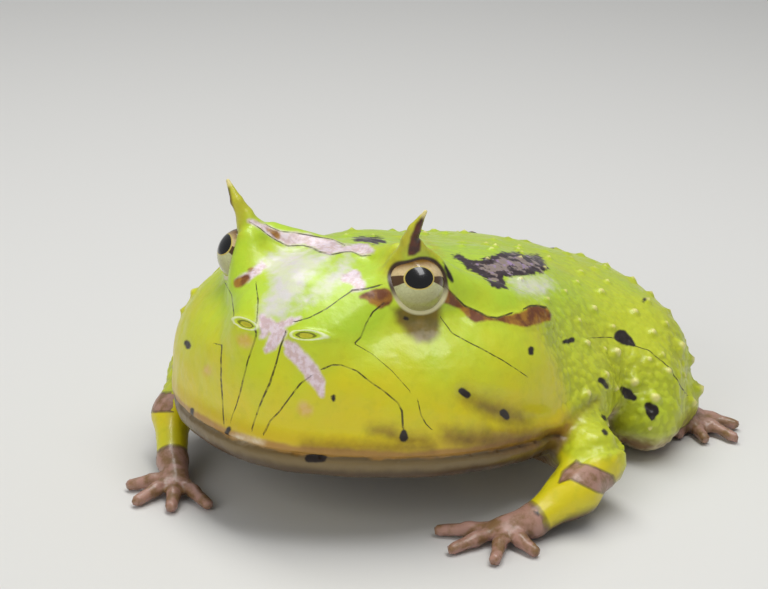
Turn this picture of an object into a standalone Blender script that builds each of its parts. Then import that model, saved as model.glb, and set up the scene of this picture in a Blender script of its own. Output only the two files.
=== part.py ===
"""A life-size still model of a Surinam horned frog, sitting with its head raised on its forelegs.

The frog faces -Y, its left side is +X, and the floor is at z = 0. The flesh is described as
a set of soft masses, balls and tapered bones, whose distances are blended into one surface.
Every length below is in millimetres, and MM turns it into Blender's metres.
"""
import random
from math import atan2, copysign, cos, radians, sin

import bmesh
import bpy
import numpy as np
from mathutils import Matrix, Vector

MM = 0.001
GAP = 0.3

# Head: the jaw is a half circle in plan, flattened a little on each quarter by the power under 2, and
# the mouth is a nearly level slit round it.
JAW_RADIUS = 39.0
JAW_Y = -12.5
JAW_POWER = 1.75
SNOUT_Y = JAW_Y - JAW_RADIUS
MOUTH_Z = 17.4
MOUTH_SLOPE = 0.07
NECK_Y = -7.0
LIPS = ((1, 1.6), (-1, 1.9))

# Eyes, the fleshy horn over each, and the nostrils: the left one of each pair.
EYE = (17.4, -29.7, 44.1)
EYE_RADIUS = 5.3
EYE_AXIS = (0.589, -0.630, 0.505)
HORN = [
    ((15.9, -29.4, 47.0), 3.2),
    ((16.8, -30.8, 52.2), 1.5),
    ((18.2, -31.4, 54.9), 1.05),
    ((20.2, -31.1, 58.3), 0.35),
]
NOSTRIL = (6.4, -47.5, 38.3)
NOSTRIL_RADII = (1.3, 1.9, 1.0)
LID_RADIUS = 5.4
LID_FORWARD = 0.5
LID_LEAN = 1.0
LID_TUBE = 0.75
# A fold of the right lid stands before that eye: (point, radius) of its two ends.
RIGHT_BROW = [((-15.0, -33.2, 48.8), 1.7), ((-13.6, -36.2, 41.0), 2.1)]

# Trunk: half of the breadth at the shoulders.
BODY_HALF_WIDTH = 39.0

# Warts: (radius, height) of the three sizes, how deep their roots go, their least spacing where
# they are scattered, and how far they keep from the limbs.
WART_SIZES = [(1.5, 2.0), (1.1, 1.3), (0.9, 0.9)]
WART_ROOT = 0.8
WART_SPACING = 7.0
WART_CROWDING = 2.6
WART_SHOULDER = 28
WART_CLEAR = 2.6
SEED = 11

# The left flank's warts in the photo: (y, rise in degrees about the axis of the body, size).
BODY_AXIS_Z = 14
FLANK_WARTS = [
    (-5, 8, 1), (3, 9.5, 1), (9, 14, 2), (12, 11.5, 0), (16, 17.5, 2), (13, 3, 0), (15, 24.5, 1),
    (14, -1, 0), (19, 4, 1), (17, 7.5, 2), (20.5, 7.5, 2), (23.5, 12, 1), (23, 27, 1), (27.5, -7, 0),
    (29, 6, 0), (29.5, 12, 2), (30, 28, 2), (32, 18, 1), (33, -6, 0), (34, 0.5, 0), (34.5, 33.5, 1),
    (40, 17, 1), (41, 31.5, 2), (43, 37, 2),
]

# How finely each form is fused and how many triangles it keeps.
TRUNK_FACES = 4800
LIMB_DETAIL = {
    "upper_arm": (1.2, 260),
    "forearm": (1.0, 260),
    "hand": (0.7, 650),
    "thigh": (1.4, 340),
    "shank": (1.2, 300),
    "foot": (0.7, 850),
}
LIMB_JOINS = [("upper_arm", "forearm"), ("forearm", "hand"), ("thigh", "shank"), ("shank", "foot")]

# Half way from the snout to the rump, which the frog's origin is moved to.
CENTRE_Y = 4.1

# Colours from the photo, as linear values, and roughness.
LIME = (0.50, 0.60, 0.03, 1)
COLOURS = {
    "head": (LIME, 0.4),
    "lower_jaw": ((0.60, 0.42, 0.18, 1), 0.4),
    "torso": (LIME, 0.45),
    "eye": ((0.45, 0.40, 0.22, 1), 0.1),
    "horn": ((0.42, 0.28, 0.04, 1), 0.45),
    "upper_arm": (LIME, 0.45),
    "forearm": ((0.48, 0.30, 0.16, 1), 0.45),
    "hand": ((0.42, 0.26, 0.18, 1), 0.45),
    "thigh": (LIME, 0.45),
    "shank": (LIME, 0.45),
    "foot": ((0.42, 0.26, 0.18, 1), 0.45),
}


def plan_reach(x, y, power):
    """How far out places are. At a power under 2 a line of one reach is a circle with flatter quarters."""
    return (np.abs(x) ** power + np.abs(y) ** power) ** (1 / power)


class Ball:
    """An ellipsoid of flesh, cut level at floor. pitch turns it about X and yaw about Z, in degrees."""

    def __init__(self, centre, radii, pitch=0.0, yaw=0.0, blend=6.0, floor=0.0, power=2.0):
        self.centre = np.array(centre, float)
        self.radii = np.array(radii, float)
        self.pitch = pitch
        self.yaw = yaw
        self.blend = blend
        self.floor = floor
        self.power = power

    def turn(self):
        return Matrix.Rotation(radians(self.yaw), 3, "Z") @ Matrix.Rotation(radians(self.pitch), 3, "X")

    def mirrored(self):
        flipped = self.centre * (-1, 1, 1)
        return Ball(flipped, self.radii, self.pitch, -self.yaw, self.blend, self.floor, self.power)

    def distance(self, points):
        local = (points - self.centre) @ np.array(self.turn())
        share = local / self.radii
        scaled = np.hypot(plan_reach(share[:, 0], share[:, 1], self.power), share[:, 2]) + 1e-9
        slope = np.linalg.norm(local / self.radii**2, axis=1) + 1e-9
        return np.maximum(scaled * (scaled - 1) / slope, self.floor - points[:, 2])

    def add_to(self, mesh, around=32, up=20):
        place = Matrix.Translation(self.centre) @ self.turn().to_4x4() @ Matrix.Diagonal((*self.radii, 1))
        made = bmesh.ops.create_uvsphere(mesh, u_segments=around, v_segments=up, radius=1, matrix=place)
        for vert in made["verts"]:
            vert.co.z = max(vert.co.z, self.floor)


class Bone:
    """A tapered capsule of flesh between two points."""

    def __init__(self, start, end, start_radius, end_radius, blend=3.0):
        self.start = np.array(start, float)
        self.end = np.array(end, float)
        self.radii = (start_radius, end_radius)
        self.blend = blend

    def mirrored(self):
        flip = (-1, 1, 1)
        return Bone(self.start * flip, self.end * flip, *self.radii, self.blend)

    def distance(self, points):
        along = self.end - self.start
        share = np.clip((points - self.start) @ along / (along @ along), 0, 1)
        nearest = self.start + share[:, None] * along
        radius = self.radii[0] + share * (self.radii[1] - self.radii[0])
        return np.linalg.norm(points - nearest, axis=1) - radius

    def add_to(self, mesh):
        piece = bmesh.new()
        for centre, radius in zip((self.start, self.end), self.radii):
            place = Matrix.Translation(centre)
            bmesh.ops.create_uvsphere(piece, u_segments=16, v_segments=10, radius=radius, matrix=place)
        hull = bmesh.ops.convex_hull(piece, input=piece.verts)
        inner = [v for v in hull["geom_interior"] if isinstance(v, bmesh.types.BMVert)]
        bmesh.ops.delete(piece, geom=inner, context="VERTS")
        copy = bpy.data.meshes.new("capsule")
        piece.to_mesh(copy)
        piece.free()
        mesh.from_mesh(copy)
        bpy.data.meshes.remove(copy)


def both_sides(masses):
    return masses + [mass.mirrored() for mass in masses]


def smooth_min(a, b, blend):
    near = np.maximum(blend - np.abs(a - b), 0) / blend
    return np.minimum(a, b) - near * near * blend / 4


def flesh_distance(masses, points):
    """Signed distance, in millimetres, to the blended surface of some masses."""
    total = masses[0].distance(points)
    for mass in masses[1:]:
        total = smooth_min(total, mass.distance(points), mass.blend)
    return total


def plan_place(angle, reach):
    """A place on the jaw's outline in plan, by its angle from the snout."""
    wide = copysign(abs(sin(angle)) ** (2 / JAW_POWER), sin(angle))
    ahead = copysign(abs(cos(angle)) ** (2 / JAW_POWER), cos(angle))
    return reach * wide, JAW_Y - reach * ahead


def lip_arcs():
    """Short bones round the jaw, that give the rolled lips their rough form."""
    arcs = []
    for side, size in LIPS:
        reach = JAW_RADIUS - size
        angles = np.radians(np.linspace(-92, 92, 25))
        ring = [plan_place(t, reach) for t in angles]
        ring = [(x, y, mouth_height(y) + side * size) for x, y in ring]
        arcs += [Bone(start, end, size, size) for start, end in zip(ring, ring[1:])]
    return arcs


def lid_up(side):
    """The upward direction along the rim of an eye's lids."""
    axis = Vector((EYE_AXIS[0] * side, *EYE_AXIS[1:])).normalized()
    return np.array(axis.cross(Vector((0, 0, 1))).cross(axis).normalized())


def lid_arcs():
    """Short bones round the rim of the left eye's lids, which leans forward at the top."""
    axis = Vector(EYE_AXIS).normalized()
    up = Vector(lid_up(1))
    across = up.cross(axis)
    middle = Vector(EYE) + axis * LID_FORWARD
    lean = up * LID_RADIUS + axis * LID_LEAN
    angles = np.radians(np.linspace(0, 360, 17))
    ring = [middle + across * LID_RADIUS * cos(t) + lean * sin(t) for t in angles]
    return [Bone(start, end, LID_TUBE, LID_TUBE) for start, end in zip(ring, ring[1:])]


def lip_distance(points, total):
    """Adds the two rolled lips along the half circle of the jaw."""
    out = plan_reach(points[:, 0], points[:, 1] - JAW_Y, JAW_POWER)
    mouth = mouth_height(points[:, 1])
    for side, size in LIPS:
        ring = np.hypot(out - JAW_RADIUS + size, points[:, 2] - mouth - side * size) - size
        ring += np.maximum(points[:, 1] - JAW_Y - 1, 0)
        total = smooth_min(total, ring, 2.4)
    return total


def lid_distance(points, total):
    """Adds the rim of the lids round each eye."""
    for side in (1, -1):
        flip = np.array([side, 1, 1])
        axis = np.array(EYE_AXIS) * flip / np.linalg.norm(EYE_AXIS)
        local = points - np.array(EYE) * flip
        height = local @ axis
        out = np.sqrt(np.maximum((local**2).sum(axis=1) - height**2, 0))
        lean = LID_LEAN * local @ lid_up(side) / LID_RADIUS
        ring = np.hypot(out - LID_RADIUS, height - LID_FORWARD - lean) - LID_TUBE
        total = smooth_min(total, ring, 1.6)
    return total


def mouth_height(y):
    """The mouth slit is a little lower at its corners than at the snout."""
    return MOUTH_Z - MOUTH_SLOPE * (y - SNOUT_Y)


def head_masses():
    ex, ey, ez = EYE
    sill = MOUTH_Z - 2.2
    wide = JAW_RADIUS - 0.6
    skull = [
        Ball((0, JAW_Y, MOUTH_Z - 1.0), (wide, wide - 0.2, 26.0), floor=sill, power=JAW_POWER),
        Ball((0, -33.0, 34.5), (13.0, 14.5, 12.5), blend=5.0, floor=sill),
        Ball((0, -35.5, 28.0), (20.0, 15.5, 12.0), floor=sill),
        Ball((0, -22.0, 34.0), (17.0, 18.0, 12.5), floor=sill),
        Ball((0, JAW_Y, MOUTH_Z - 1.4), (wide - 0.2, wide - 0.4, 5.2), blend=2.0, power=JAW_POWER),
        Ball((0, -8.0, 15.5), (27.0, 24.0, 9.5)),
    ]
    paired = both_sides([
        Ball((15.0, -24.5, 24.5), (18.0, 18.0, 15.5), blend=7.0, floor=sill),
        Ball((ex - 4.5, ey + 2.5, ez - 5.0), (7.6, 8.0, 7.2), blend=5.0, floor=sill),
        Ball((ex - 2.1, ey + 2.3, ez - 1.8), (6.3, 6.3, 6.3), blend=2.5, floor=sill),
        Ball((22.0, -17.0, 25.2), (12.6, 12.6, 11.4), blend=8.0),
        Bone((ex + 2.5, ey + 6.0, ez - 1.5), (29.6, -7.0, 33.4), 3.5, 3.2, blend=5.0),
        Bone((ex - 4.4, ey + 2.1, ez + 4.5), (5.5, -23.4, 45.8), 2.0, 1.7, blend=3.0),
        Bone((ex + 1.4, ey + 2.9, ez + 3.3), (ex + 0.8, ey + 0.1, ez + 7.3), 1.9, 0.9, blend=1.5),
        Bone((ex - 5.2, ey - 4.2, ez - 1.6), (6.6, -45.0, 36.4), 2.3, 2.4, blend=6.0),
    ])
    return skull + paired + chain(RIGHT_BROW, blend=4.0)


def torso_masses():
    return [
        Ball((0, 11.0, 18.0), (BODY_HALF_WIDTH - 2, 33.0, 16.5), pitch=-8, blend=8.0),
        Ball((0, 30.0, 16.5), (BODY_HALF_WIDTH + 1, 30.5, 16.5), pitch=-9, blend=10.0),
        *both_sides([
            Ball((14.0, 4.0, 22.5), (18.0, 21.0, 16.0), blend=6.0),
            Ball((30.5, 0.5, 15.5), (11.0, 13.0, 9.5), blend=5.0),
        ]),
    ]


LEFT_ARM = {
    "upper_arm": [((28, 0, 12.0), 7.6), ((44.6, -11, 10.0), 5.4)],
    "forearm": [((44.8, -11.5, 9.6), 4.9), ((44.6, -19.8, 6.8), 4.2), ((41, -27.8, 3.8), 2.9)],
    "palm": [((40.2, -28.6, 3.3), 2.8), ((36.5, -31.5, 2.4), 2.3)],
    "headings": (-159, -118, -72, -25),
}
RIGHT_ARM = {
    "upper_arm": [((-28, 0, 13.5), 7.6), ((-38.6, -16, 13.8), 4.6)],
    "forearm": [((-38.6, -16.5, 13.4), 4.4), ((-36.4, -27.5, 8.7), 3.4), ((-30.6, -36.5, 4.0), 2.8)],
    "palm": [((-29.8, -37.5, 3.4), 2.8), ((-26.8, -40.5, 2.4), 2.3)],
    "headings": (-28, -62, -100, -145),
}


def chain(points, blend=3.0):
    """Tapered bones through a list of (point, radius)."""
    return [
        Bone(a, b, ra, rb, blend)
        for (a, ra), (b, rb) in zip(points, points[1:])
    ]


def digit(base, heading, length, radius):
    """A finger or toe on the floor, with a slightly swollen tip."""
    step = np.array([cos(heading), sin(heading), 0.0])
    knuckle = np.array([base[0], base[1], radius + 1.2])
    middle = knuckle + step * length * 0.55
    middle[2] = radius + 0.5
    tip = knuckle + step * length
    tip[2] = radius * 0.9
    return chain([(knuckle, radius * 1.05), (middle, radius * 0.88), (tip, radius * 0.8)], blend=1.0)


def hand_masses(arm):
    """The palm and its four fingers, from the inner one to the outer one."""
    masses = chain(arm["palm"], blend=2.0)
    base = np.array(arm["palm"][-1][0], float)
    for heading, length in zip(arm["headings"], (11.5, 11.0, 10.5, 8.5)):
        masses += digit(base, radians(heading), length, 1.35)
    return masses


LEG = {
    "thigh": [((16, 46, 14), 10.4), ((34.6, 30.5, 12.6), 10.1), ((39.8, 21.5, 12), 8.6)],
    "shank": [((42.5, 17.5, 8.0), 7.0), ((40.8, 31.2, 6.8), 6.3), ((33.5, 43.5, 4.8), 4.4)],
    "foot": [((33.5, 44.5, 4.2), 3.8), ((39, 40.5, 3.4), 3.2), ((43.5, 36, 2.6), 2.6)],
}


def foot_masses():
    """The tarsus and five toes, longest at the fourth, with webs between their roots."""
    masses = chain(LEG["foot"], blend=2.0)
    base = np.array(LEG["foot"][-1][0], float)
    toes = ((-100, 7.0), (-74, 9.0), (-48, 11.5), (-22, 13.5), (8, 10.0))
    for heading, length in toes:
        masses += digit(base, radians(heading), length, 1.35)
    for (first, short), (second, long) in zip(toes, toes[1:]):
        middle = radians((first + second) / 2)
        reach = 0.5 * min(short, long)
        web = base + reach * 0.7 * np.array([cos(middle), sin(middle), 0])
        web[2] = 1.0
        masses.append(Ball(web, (reach * 0.75, reach * 0.34, 0.9), yaw=(first + second) / 2, blend=0.8))
    return masses


def mesh_object(name, mesh, collection):
    obj = bpy.data.objects.new(name, mesh)
    collection.objects.link(obj)
    return obj


def baked(obj):
    """Applies the modifiers of obj, by reading it as the viewport evaluates it."""
    graph = bpy.context.evaluated_depsgraph_get()
    mesh = bpy.data.meshes.new_from_object(obj.evaluated_get(graph))
    old = obj.data
    obj.modifiers.clear()
    obj.data = mesh
    bpy.data.meshes.remove(old)
    return obj


def coordinates(mesh):
    flat = np.empty(len(mesh.vertices) * 3, np.float32)
    mesh.vertices.foreach_get("co", flat)
    return flat.reshape(-1, 3).astype(float)


def set_coordinates(mesh, points):
    mesh.vertices.foreach_set("co", points.astype(np.float32).ravel())
    mesh.update()


def settle(mesh, distance, steps=6):
    """Moves each vertex along the slope of the distance, on to its zero surface."""
    points = coordinates(mesh) / MM
    probe = 0.05
    for _ in range(steps):
        here = distance(points)
        slope = np.stack([(distance(points + probe * axis) - here) / probe for axis in np.eye(3)], axis=1)
        steep = np.maximum((slope**2).sum(axis=1), 0.2)
        move = slope * (here / steep)[:, None]
        length = np.linalg.norm(move, axis=1, keepdims=True)
        points -= move * np.minimum(1, 1.0 / np.maximum(length, 1e-9))
    points[:, 2] = np.maximum(points[:, 2], 0)
    set_coordinates(mesh, points * MM)


def sculpted(name, masses, distance, voxel, faces, collection):
    """One closed form: the masses fused, settled on their blended surface and thinned to some faces."""
    rough = bmesh.new()
    for mass in masses:
        mass.add_to(rough)
    bmesh.ops.scale(rough, vec=(MM, MM, MM), verts=rough.verts)
    mesh = bpy.data.meshes.new(name)
    rough.to_mesh(mesh)
    rough.free()
    obj = mesh_object(name, mesh, collection)
    fuse = obj.modifiers.new("Fuse", "REMESH")
    fuse.mode = "VOXEL"
    fuse.voxel_size = voxel * MM
    baked(obj)
    settle(obj.data, distance)
    thin = obj.modifiers.new("Thin", "DECIMATE")
    thin.ratio = min(1, faces / (2 * len(obj.data.polygons)))
    thin.use_collapse_triangulate = True
    baked(obj)
    points = coordinates(obj.data)
    points[:, 2] = np.maximum(points[:, 2], 0)
    set_coordinates(obj.data, points)
    return obj


def trunk_distance(points):
    total = flesh_distance(head_masses() + torso_masses(), points)
    return lid_distance(points, lip_distance(points, total))


def box(name, low, high, collection, pitch=0.0, about=(0, 0, 0)):
    """A block between two corners, turned about the X axis through a point."""
    made = bmesh.new()
    centre = (Vector(low) + Vector(high)) / 2
    size = Vector(high) - Vector(low)
    bmesh.ops.create_cube(made, size=1, matrix=Matrix.Translation(centre) @ Matrix.Diagonal((*size, 1)))
    turn = Matrix.Rotation(pitch, 3, "X")
    bmesh.ops.rotate(made, cent=about, matrix=turn, verts=made.verts)
    bmesh.ops.scale(made, vec=(MM, MM, MM), verts=made.verts)
    mesh = bpy.data.meshes.new(name)
    made.to_mesh(mesh)
    made.free()
    return mesh_object(name, mesh, collection)


def ball_object(name, mass, collection, grow=0.0):
    """A ball as an object of its own, grown by a margin when it is a cutter."""
    made = bmesh.new()
    Ball(mass.centre, mass.radii + grow, mass.pitch, mass.yaw).add_to(made, 24, 12)
    bmesh.ops.scale(made, vec=(MM, MM, MM), verts=made.verts)
    mesh = bpy.data.meshes.new(name)
    made.to_mesh(mesh)
    made.free()
    return mesh_object(name, mesh, collection)


def copied(obj, name):
    twin = obj.copy()
    twin.data = obj.data.copy()
    twin.name = name
    for collection in obj.users_collection:
        collection.objects.link(twin)
    return twin


def grown(obj, margin, cutters):
    """A copy of obj, swollen by a margin along its normals, to cut its neighbours with."""
    twin = mesh_object(f"{obj.name}_clearance", obj.data.copy(), cutters)
    swell = twin.modifiers.new("Swell", "DISPLACE")
    swell.mid_level = 0
    swell.strength = margin * MM
    return baked(twin)


def combine(obj, others, operation, solver="MANIFOLD"):
    """Cuts obj by, or joins it to, or keeps what it shares with the others, one after another."""
    for other in others:
        step = obj.modifiers.new(operation.title(), "BOOLEAN")
        step.operation = operation
        step.solver = solver
        step.object = other
        baked(obj)
    return obj


def keep_largest(obj):
    """Drops any loose scrap that a cut has left behind."""
    mesh = bmesh.new()
    mesh.from_mesh(obj.data)
    bmesh.ops.dissolve_degenerate(mesh, dist=0.02 * MM, edges=mesh.edges)
    bmesh.ops.triangulate(mesh, faces=mesh.faces)
    seen = set()
    groups = []
    for face in mesh.faces:
        if face in seen:
            continue
        group = [face]
        seen.add(face)
        for member in group:
            for edge in member.edges:
                for other in edge.link_faces:
                    if other not in seen:
                        seen.add(other)
                        group.append(other)
        groups.append(group)
    groups.sort(key=len)
    for group in groups[:-1]:
        bmesh.ops.delete(mesh, geom=group, context="FACES")
    mesh.to_mesh(obj.data)
    mesh.free()


def landed(distance, starts, aims, steps=60):
    """Walks from each start along its aim until it meets a surface. Gives the points and their normals."""
    points = starts.copy()
    for _ in range(steps):
        points += aims * distance(points)[:, None] * 0.8
    probe = 0.05 * np.eye(3)
    slope = np.stack([distance(points + step) - distance(points - step) for step in probe], axis=1)
    return points, slope / (np.linalg.norm(slope, axis=1, keepdims=True) + 1e-9)


def wart_places():
    """Where a wart may stand: (side, y, rise, size, spacing). The photo's come first, then scattered ones."""
    chance = random.Random(SEED)
    places = [(1, y, rise, size, WART_CROWDING) for y, rise, size in FLANK_WARTS]
    for y, rise, size in FLANK_WARTS:
        places.append((-1, y + chance.uniform(-1.5, 1.5), rise + chance.uniform(-3, 3), size, WART_CROWDING))
    for number in range(500):
        rise = chance.uniform(-8, 80)
        size = chance.choice((1, 2)) if rise < WART_SHOULDER else 2
        places.append((1 if number % 2 else -1, chance.uniform(0, 54), rise, size, WART_SPACING))
    return places


def wart_sites(distance, others):
    """The places that reach a surface, clear of the others: (point, normal, radius, height)."""
    places = wart_places()
    rises = np.radians([rise for side, y, rise, size, spacing in places])
    sides = np.array([side for side, y, rise, size, spacing in places])
    out = np.stack([sides * np.cos(rises), 0 * rises, np.sin(rises)], axis=1)
    axis = np.array([(0, y, BODY_AXIS_Z) for side, y, rise, size, spacing in places])
    points, normals = landed(distance, axis + 90 * out, -out)
    room = np.where(np.abs(distance(points)) < 0.1, others(points), 0)
    sites = []
    for point, normal, clear, (side, y, rise, size, spacing) in zip(points, normals, room, places):
        if point[2] < 5 or point[1] < NECK_Y + 4 or clear < WART_CLEAR:
            continue
        if all(np.linalg.norm(point - other[0]) > spacing for other in sites):
            sites.append((point, normal, *WART_SIZES[size]))
    return sites


def warts_object(name, sites, collection):
    """Six-sided cones with their roots sunk below the skin."""
    made = bmesh.new()
    for point, normal, radius, height in sites:
        turn = Vector(normal).to_track_quat("Z", "Y").to_matrix().to_4x4()
        middle = Vector(point) + Vector(normal) * (height - WART_ROOT) / 2
        bmesh.ops.create_cone(
            made, cap_ends=True, segments=6, radius1=radius * 1.25, radius2=radius * 0.25,
            depth=height + WART_ROOT, matrix=Matrix.Translation(middle) @ turn,
        )
    bmesh.ops.scale(made, vec=(MM, MM, MM), verts=made.verts)
    mesh = bpy.data.meshes.new(name)
    made.to_mesh(mesh)
    made.free()
    return mesh_object(name, mesh, collection)


def finished(obj, colour, roughness, root):
    material = bpy.data.materials.new(obj.name)
    material.use_nodes = True
    shader = material.node_tree.nodes["Principled BSDF"]
    shader.inputs["Base Color"].default_value = colour
    shader.inputs["Roughness"].default_value = roughness
    obj.data.materials.clear()
    obj.data.materials.append(material)
    obj.parent = root


def main():
    for obj in list(bpy.data.objects):
        bpy.data.objects.remove(obj)
    frog = bpy.data.collections.new("surinam_horned_frog")
    cutters = bpy.data.collections.new("cutters")
    for collection in (frog, cutters):
        bpy.context.scene.collection.children.link(collection)
    root = bpy.data.objects.new("frog_origin", None)
    root.location.y = -CENTRE_Y * MM
    frog.objects.link(root)
    nodes = {}

    # The trunk is one form. Its clearance cuts whatever grows from it, before it is parted.
    rough = head_masses() + torso_masses() + lip_arcs() + both_sides(lid_arcs())
    trunk = sculpted("torso", rough, trunk_distance, 1.2, TRUNK_FACES, frog)
    clearance = grown(trunk, GAP + 0.12, cutters)

    limbs = {}
    for side, arm in (("left", LEFT_ARM), ("right", RIGHT_ARM)):
        limbs[f"upper_arm_{side}"] = chain(arm["upper_arm"])
        limbs[f"forearm_{side}"] = chain(arm["forearm"])
        limbs[f"hand_{side}"] = hand_masses(arm)
    leg = {"thigh": chain(LEG["thigh"]), "shank": chain(LEG["shank"]), "foot": foot_masses()}
    for part, masses in leg.items():
        limbs[f"{part}_left"] = masses
        limbs[f"{part}_right"] = [mass.mirrored() for mass in masses]
    all_limbs = [mass for masses in limbs.values() for mass in masses]
    for name, masses in limbs.items():
        voxel, faces = LIMB_DETAIL[name.rsplit("_", 1)[0]]
        nodes[name] = sculpted(name, masses, lambda p, m=masses: flesh_distance(m, p), voxel, faces, frog)
    for side in ("left", "right"):
        for first, second in LIMB_JOINS:
            inner = nodes[f"{first}_{side}"]
            combine(nodes[f"{second}_{side}"], [grown(inner, GAP + 0.12, cutters)], "DIFFERENCE")
    for obj in nodes.values():
        combine(obj, [clearance], "DIFFERENCE")

    # Horns grow from the lids, and the eyes sit in round sockets.
    sockets = []
    for side in (1, -1):
        word = "left" if side == 1 else "right"
        masses = [mass if side == 1 else mass.mirrored() for mass in chain(HORN, blend=0.4)]
        horn = sculpted(f"horn_{word}", masses, lambda p, m=masses: flesh_distance(m, p), 0.45, 240, frog)
        eye = Ball((EYE[0] * side, EYE[1], EYE[2]), (EYE_RADIUS,) * 3)
        socket = ball_object(f"socket_{word}", eye, cutters, GAP + 0.12)
        combine(horn, [clearance, socket], "DIFFERENCE")
        sockets.append(socket)
        nodes[horn.name] = horn
        nodes[f"eye_{word}"] = ball_object(f"eye_{word}", eye, frog)
        slant = Ball((NOSTRIL[0] * side, NOSTRIL[1], NOSTRIL[2]), NOSTRIL_RADII, pitch=-35, yaw=side * 30)
        sockets.append(ball_object(f"nostril_{word}", slant, cutters))

    # Part the trunk with two thin cuts, at the neck and along the mouth.
    tilt = atan2(-MOUTH_SLOPE, 1)
    hinge = (0, SNOUT_Y, MOUTH_Z)
    half = (GAP + 0.05) / 2
    front = box("front", (-90, -90, -20), (90, NECK_Y - half, 90), cutters)
    above = box("above", (-90, -90, MOUTH_Z + half), (90, 90, 90), cutters, tilt, hinge)
    below = box("below", (-90, -90, -60), (90, 90, MOUTH_Z - half), cutters, tilt, hinge)
    behind = box("behind", (-90, NECK_Y + half, -20), (90, 90, 90), cutters)
    combine(trunk, sockets, "DIFFERENCE")
    nodes["head"] = combine(copied(trunk, "head"), [front, above], "INTERSECT")
    nodes["lower_jaw"] = combine(copied(trunk, "lower_jaw"), [front, below], "INTERSECT")
    nodes["torso"] = combine(trunk, [behind], "INTERSECT")
    sites = wart_sites(trunk_distance, lambda p: flesh_distance(all_limbs, p))
    combine(nodes["torso"], [warts_object("warts", sites, cutters)], "UNION", "EXACT")
    for side in ("left", "right"):
        thigh = limbs[f"thigh_{side}"]
        apart = [limbs[f"shank_{side}"], limbs[f"upper_arm_{side}"]]
        apart = [mass for masses in apart for mass in masses] + torso_masses()
        sites = wart_sites(lambda p: flesh_distance(thigh, p), lambda p: flesh_distance(apart, p))
        if sites:
            warts = warts_object(f"thigh_warts_{side}", sites, cutters)
            combine(nodes[f"thigh_{side}"], [warts], "UNION", "EXACT")

    for name, obj in nodes.items():
        keep_largest(obj)
        colour, roughness = COLOURS[name.replace("_left", "").replace("_right", "")]
        finished(obj, colour, roughness, root)
    for obj in cutters.objects:
        obj.hide_render = True


main()
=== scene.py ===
"""The looks of a life-size Surinam horned frog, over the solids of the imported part.

One skin replaces every node of flesh, the soft horns over the eyes among them, and each eye is
a wet ball of its own. The frog faces -Y and its left side is +X. Lengths here are millimetres
in the frame that the solids were drawn in, which is home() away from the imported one.
"""

import random
from functools import partial
from math import copysign, cos, radians, sin

import bmesh
import bpy
import numpy as np
from mathutils import Matrix, Vector, noise
from mathutils.bvhtree import BVHTree


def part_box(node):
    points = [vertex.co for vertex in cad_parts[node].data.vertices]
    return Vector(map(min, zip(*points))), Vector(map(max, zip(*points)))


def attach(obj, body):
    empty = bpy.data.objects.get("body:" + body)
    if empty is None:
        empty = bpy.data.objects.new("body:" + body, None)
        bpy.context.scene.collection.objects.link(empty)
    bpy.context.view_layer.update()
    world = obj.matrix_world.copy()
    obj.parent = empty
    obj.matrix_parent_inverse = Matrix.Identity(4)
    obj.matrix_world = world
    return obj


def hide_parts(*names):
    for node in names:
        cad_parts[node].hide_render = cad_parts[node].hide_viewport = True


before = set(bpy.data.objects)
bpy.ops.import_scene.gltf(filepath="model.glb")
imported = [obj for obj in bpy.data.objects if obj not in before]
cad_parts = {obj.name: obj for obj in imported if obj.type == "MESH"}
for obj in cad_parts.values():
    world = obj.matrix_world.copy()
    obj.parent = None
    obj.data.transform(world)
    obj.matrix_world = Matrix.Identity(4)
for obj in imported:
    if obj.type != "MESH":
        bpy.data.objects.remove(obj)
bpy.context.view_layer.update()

MM = 0.001

# The photo: its size in pixels, how it looks at the frog, and the left eye's place in it. Every
# pixel below is in that frame, and PIXELS_PER_MM is its scale as far off as that eye.
PHOTO = (768, 589)
CAMERA_TURN = 29.0
CAMERA_TILT = 18.7
CAMERA_DISTANCE = 400.0
PIXELS_PER_MM = 5.7
EYE_PIXEL = (414.7, 285.2)
SENSOR = 36.0

# Head: the jaw is a half circle in plan, flattened a little on each quarter by the power under 2, and
# the mouth is a nearly level slit round it, with a rolled lip of (side, radius) over and under it.
JAW_RADIUS = 39.0
JAW_Y = -12.5
JAW_POWER = 1.75
SNOUT_Y = JAW_Y - JAW_RADIUS
MOUTH_Z = 17.4
MOUTH_SLOPE = 0.07
LIPS = ((1, 1.6), (-1, 1.9))

# The left eye: its middle, and the way that it looks. Its pupil is an oval of (half breadth, half height),
# shifted a little from the middle of the ball.
EYE = (17.4, -29.7, 44.1)
EYE_RADIUS = 5.3
EYE_AXIS = (0.589, -0.630, 0.505)
PUPIL = (2.45, 1.95)
PUPIL_SHIFT = (-0.3, 0.2)
# The clear front bulges from this share of the ball's radius on, and stands out by this much.
CORNEA_START = 0.55
CORNEA_BULGE = 0.22
# The rim of the lids is a tube round the ball, forward of its middle, and leans forward at the top.
LID_RADIUS = 5.4
LID_FORWARD = 0.5
LID_LEAN = 1.0
LID_TUBE = 0.75

# The fleshy horn over the left eye, and a fold before the right one, as (place, radius).
HORN = [
    ((15.9, -29.4, 47.0), 3.2),
    ((16.8, -30.8, 52.2), 1.5),
    ((18.2, -31.4, 54.9), 1.05),
    ((20.2, -31.1, 58.3), 0.35),
]
RIGHT_BROW = [((-15.0, -33.2, 48.8), 1.7), ((-13.6, -36.2, 41.0), 2.1)]

# The left nostril's slit: which way it runs and faces, its half length and half height, and its raised
# rim, in half lengths of the slit.
NOSTRIL = (6.4, -47.5, 38.3)
NOSTRIL_ALONG = (0.86, -0.42, 0.28)
NOSTRIL_OUT = (0.35, -0.85, 0.40)
NOSTRIL_HALF = (1.35, 0.5)
NOSTRIL_RIM = 1.65

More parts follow.
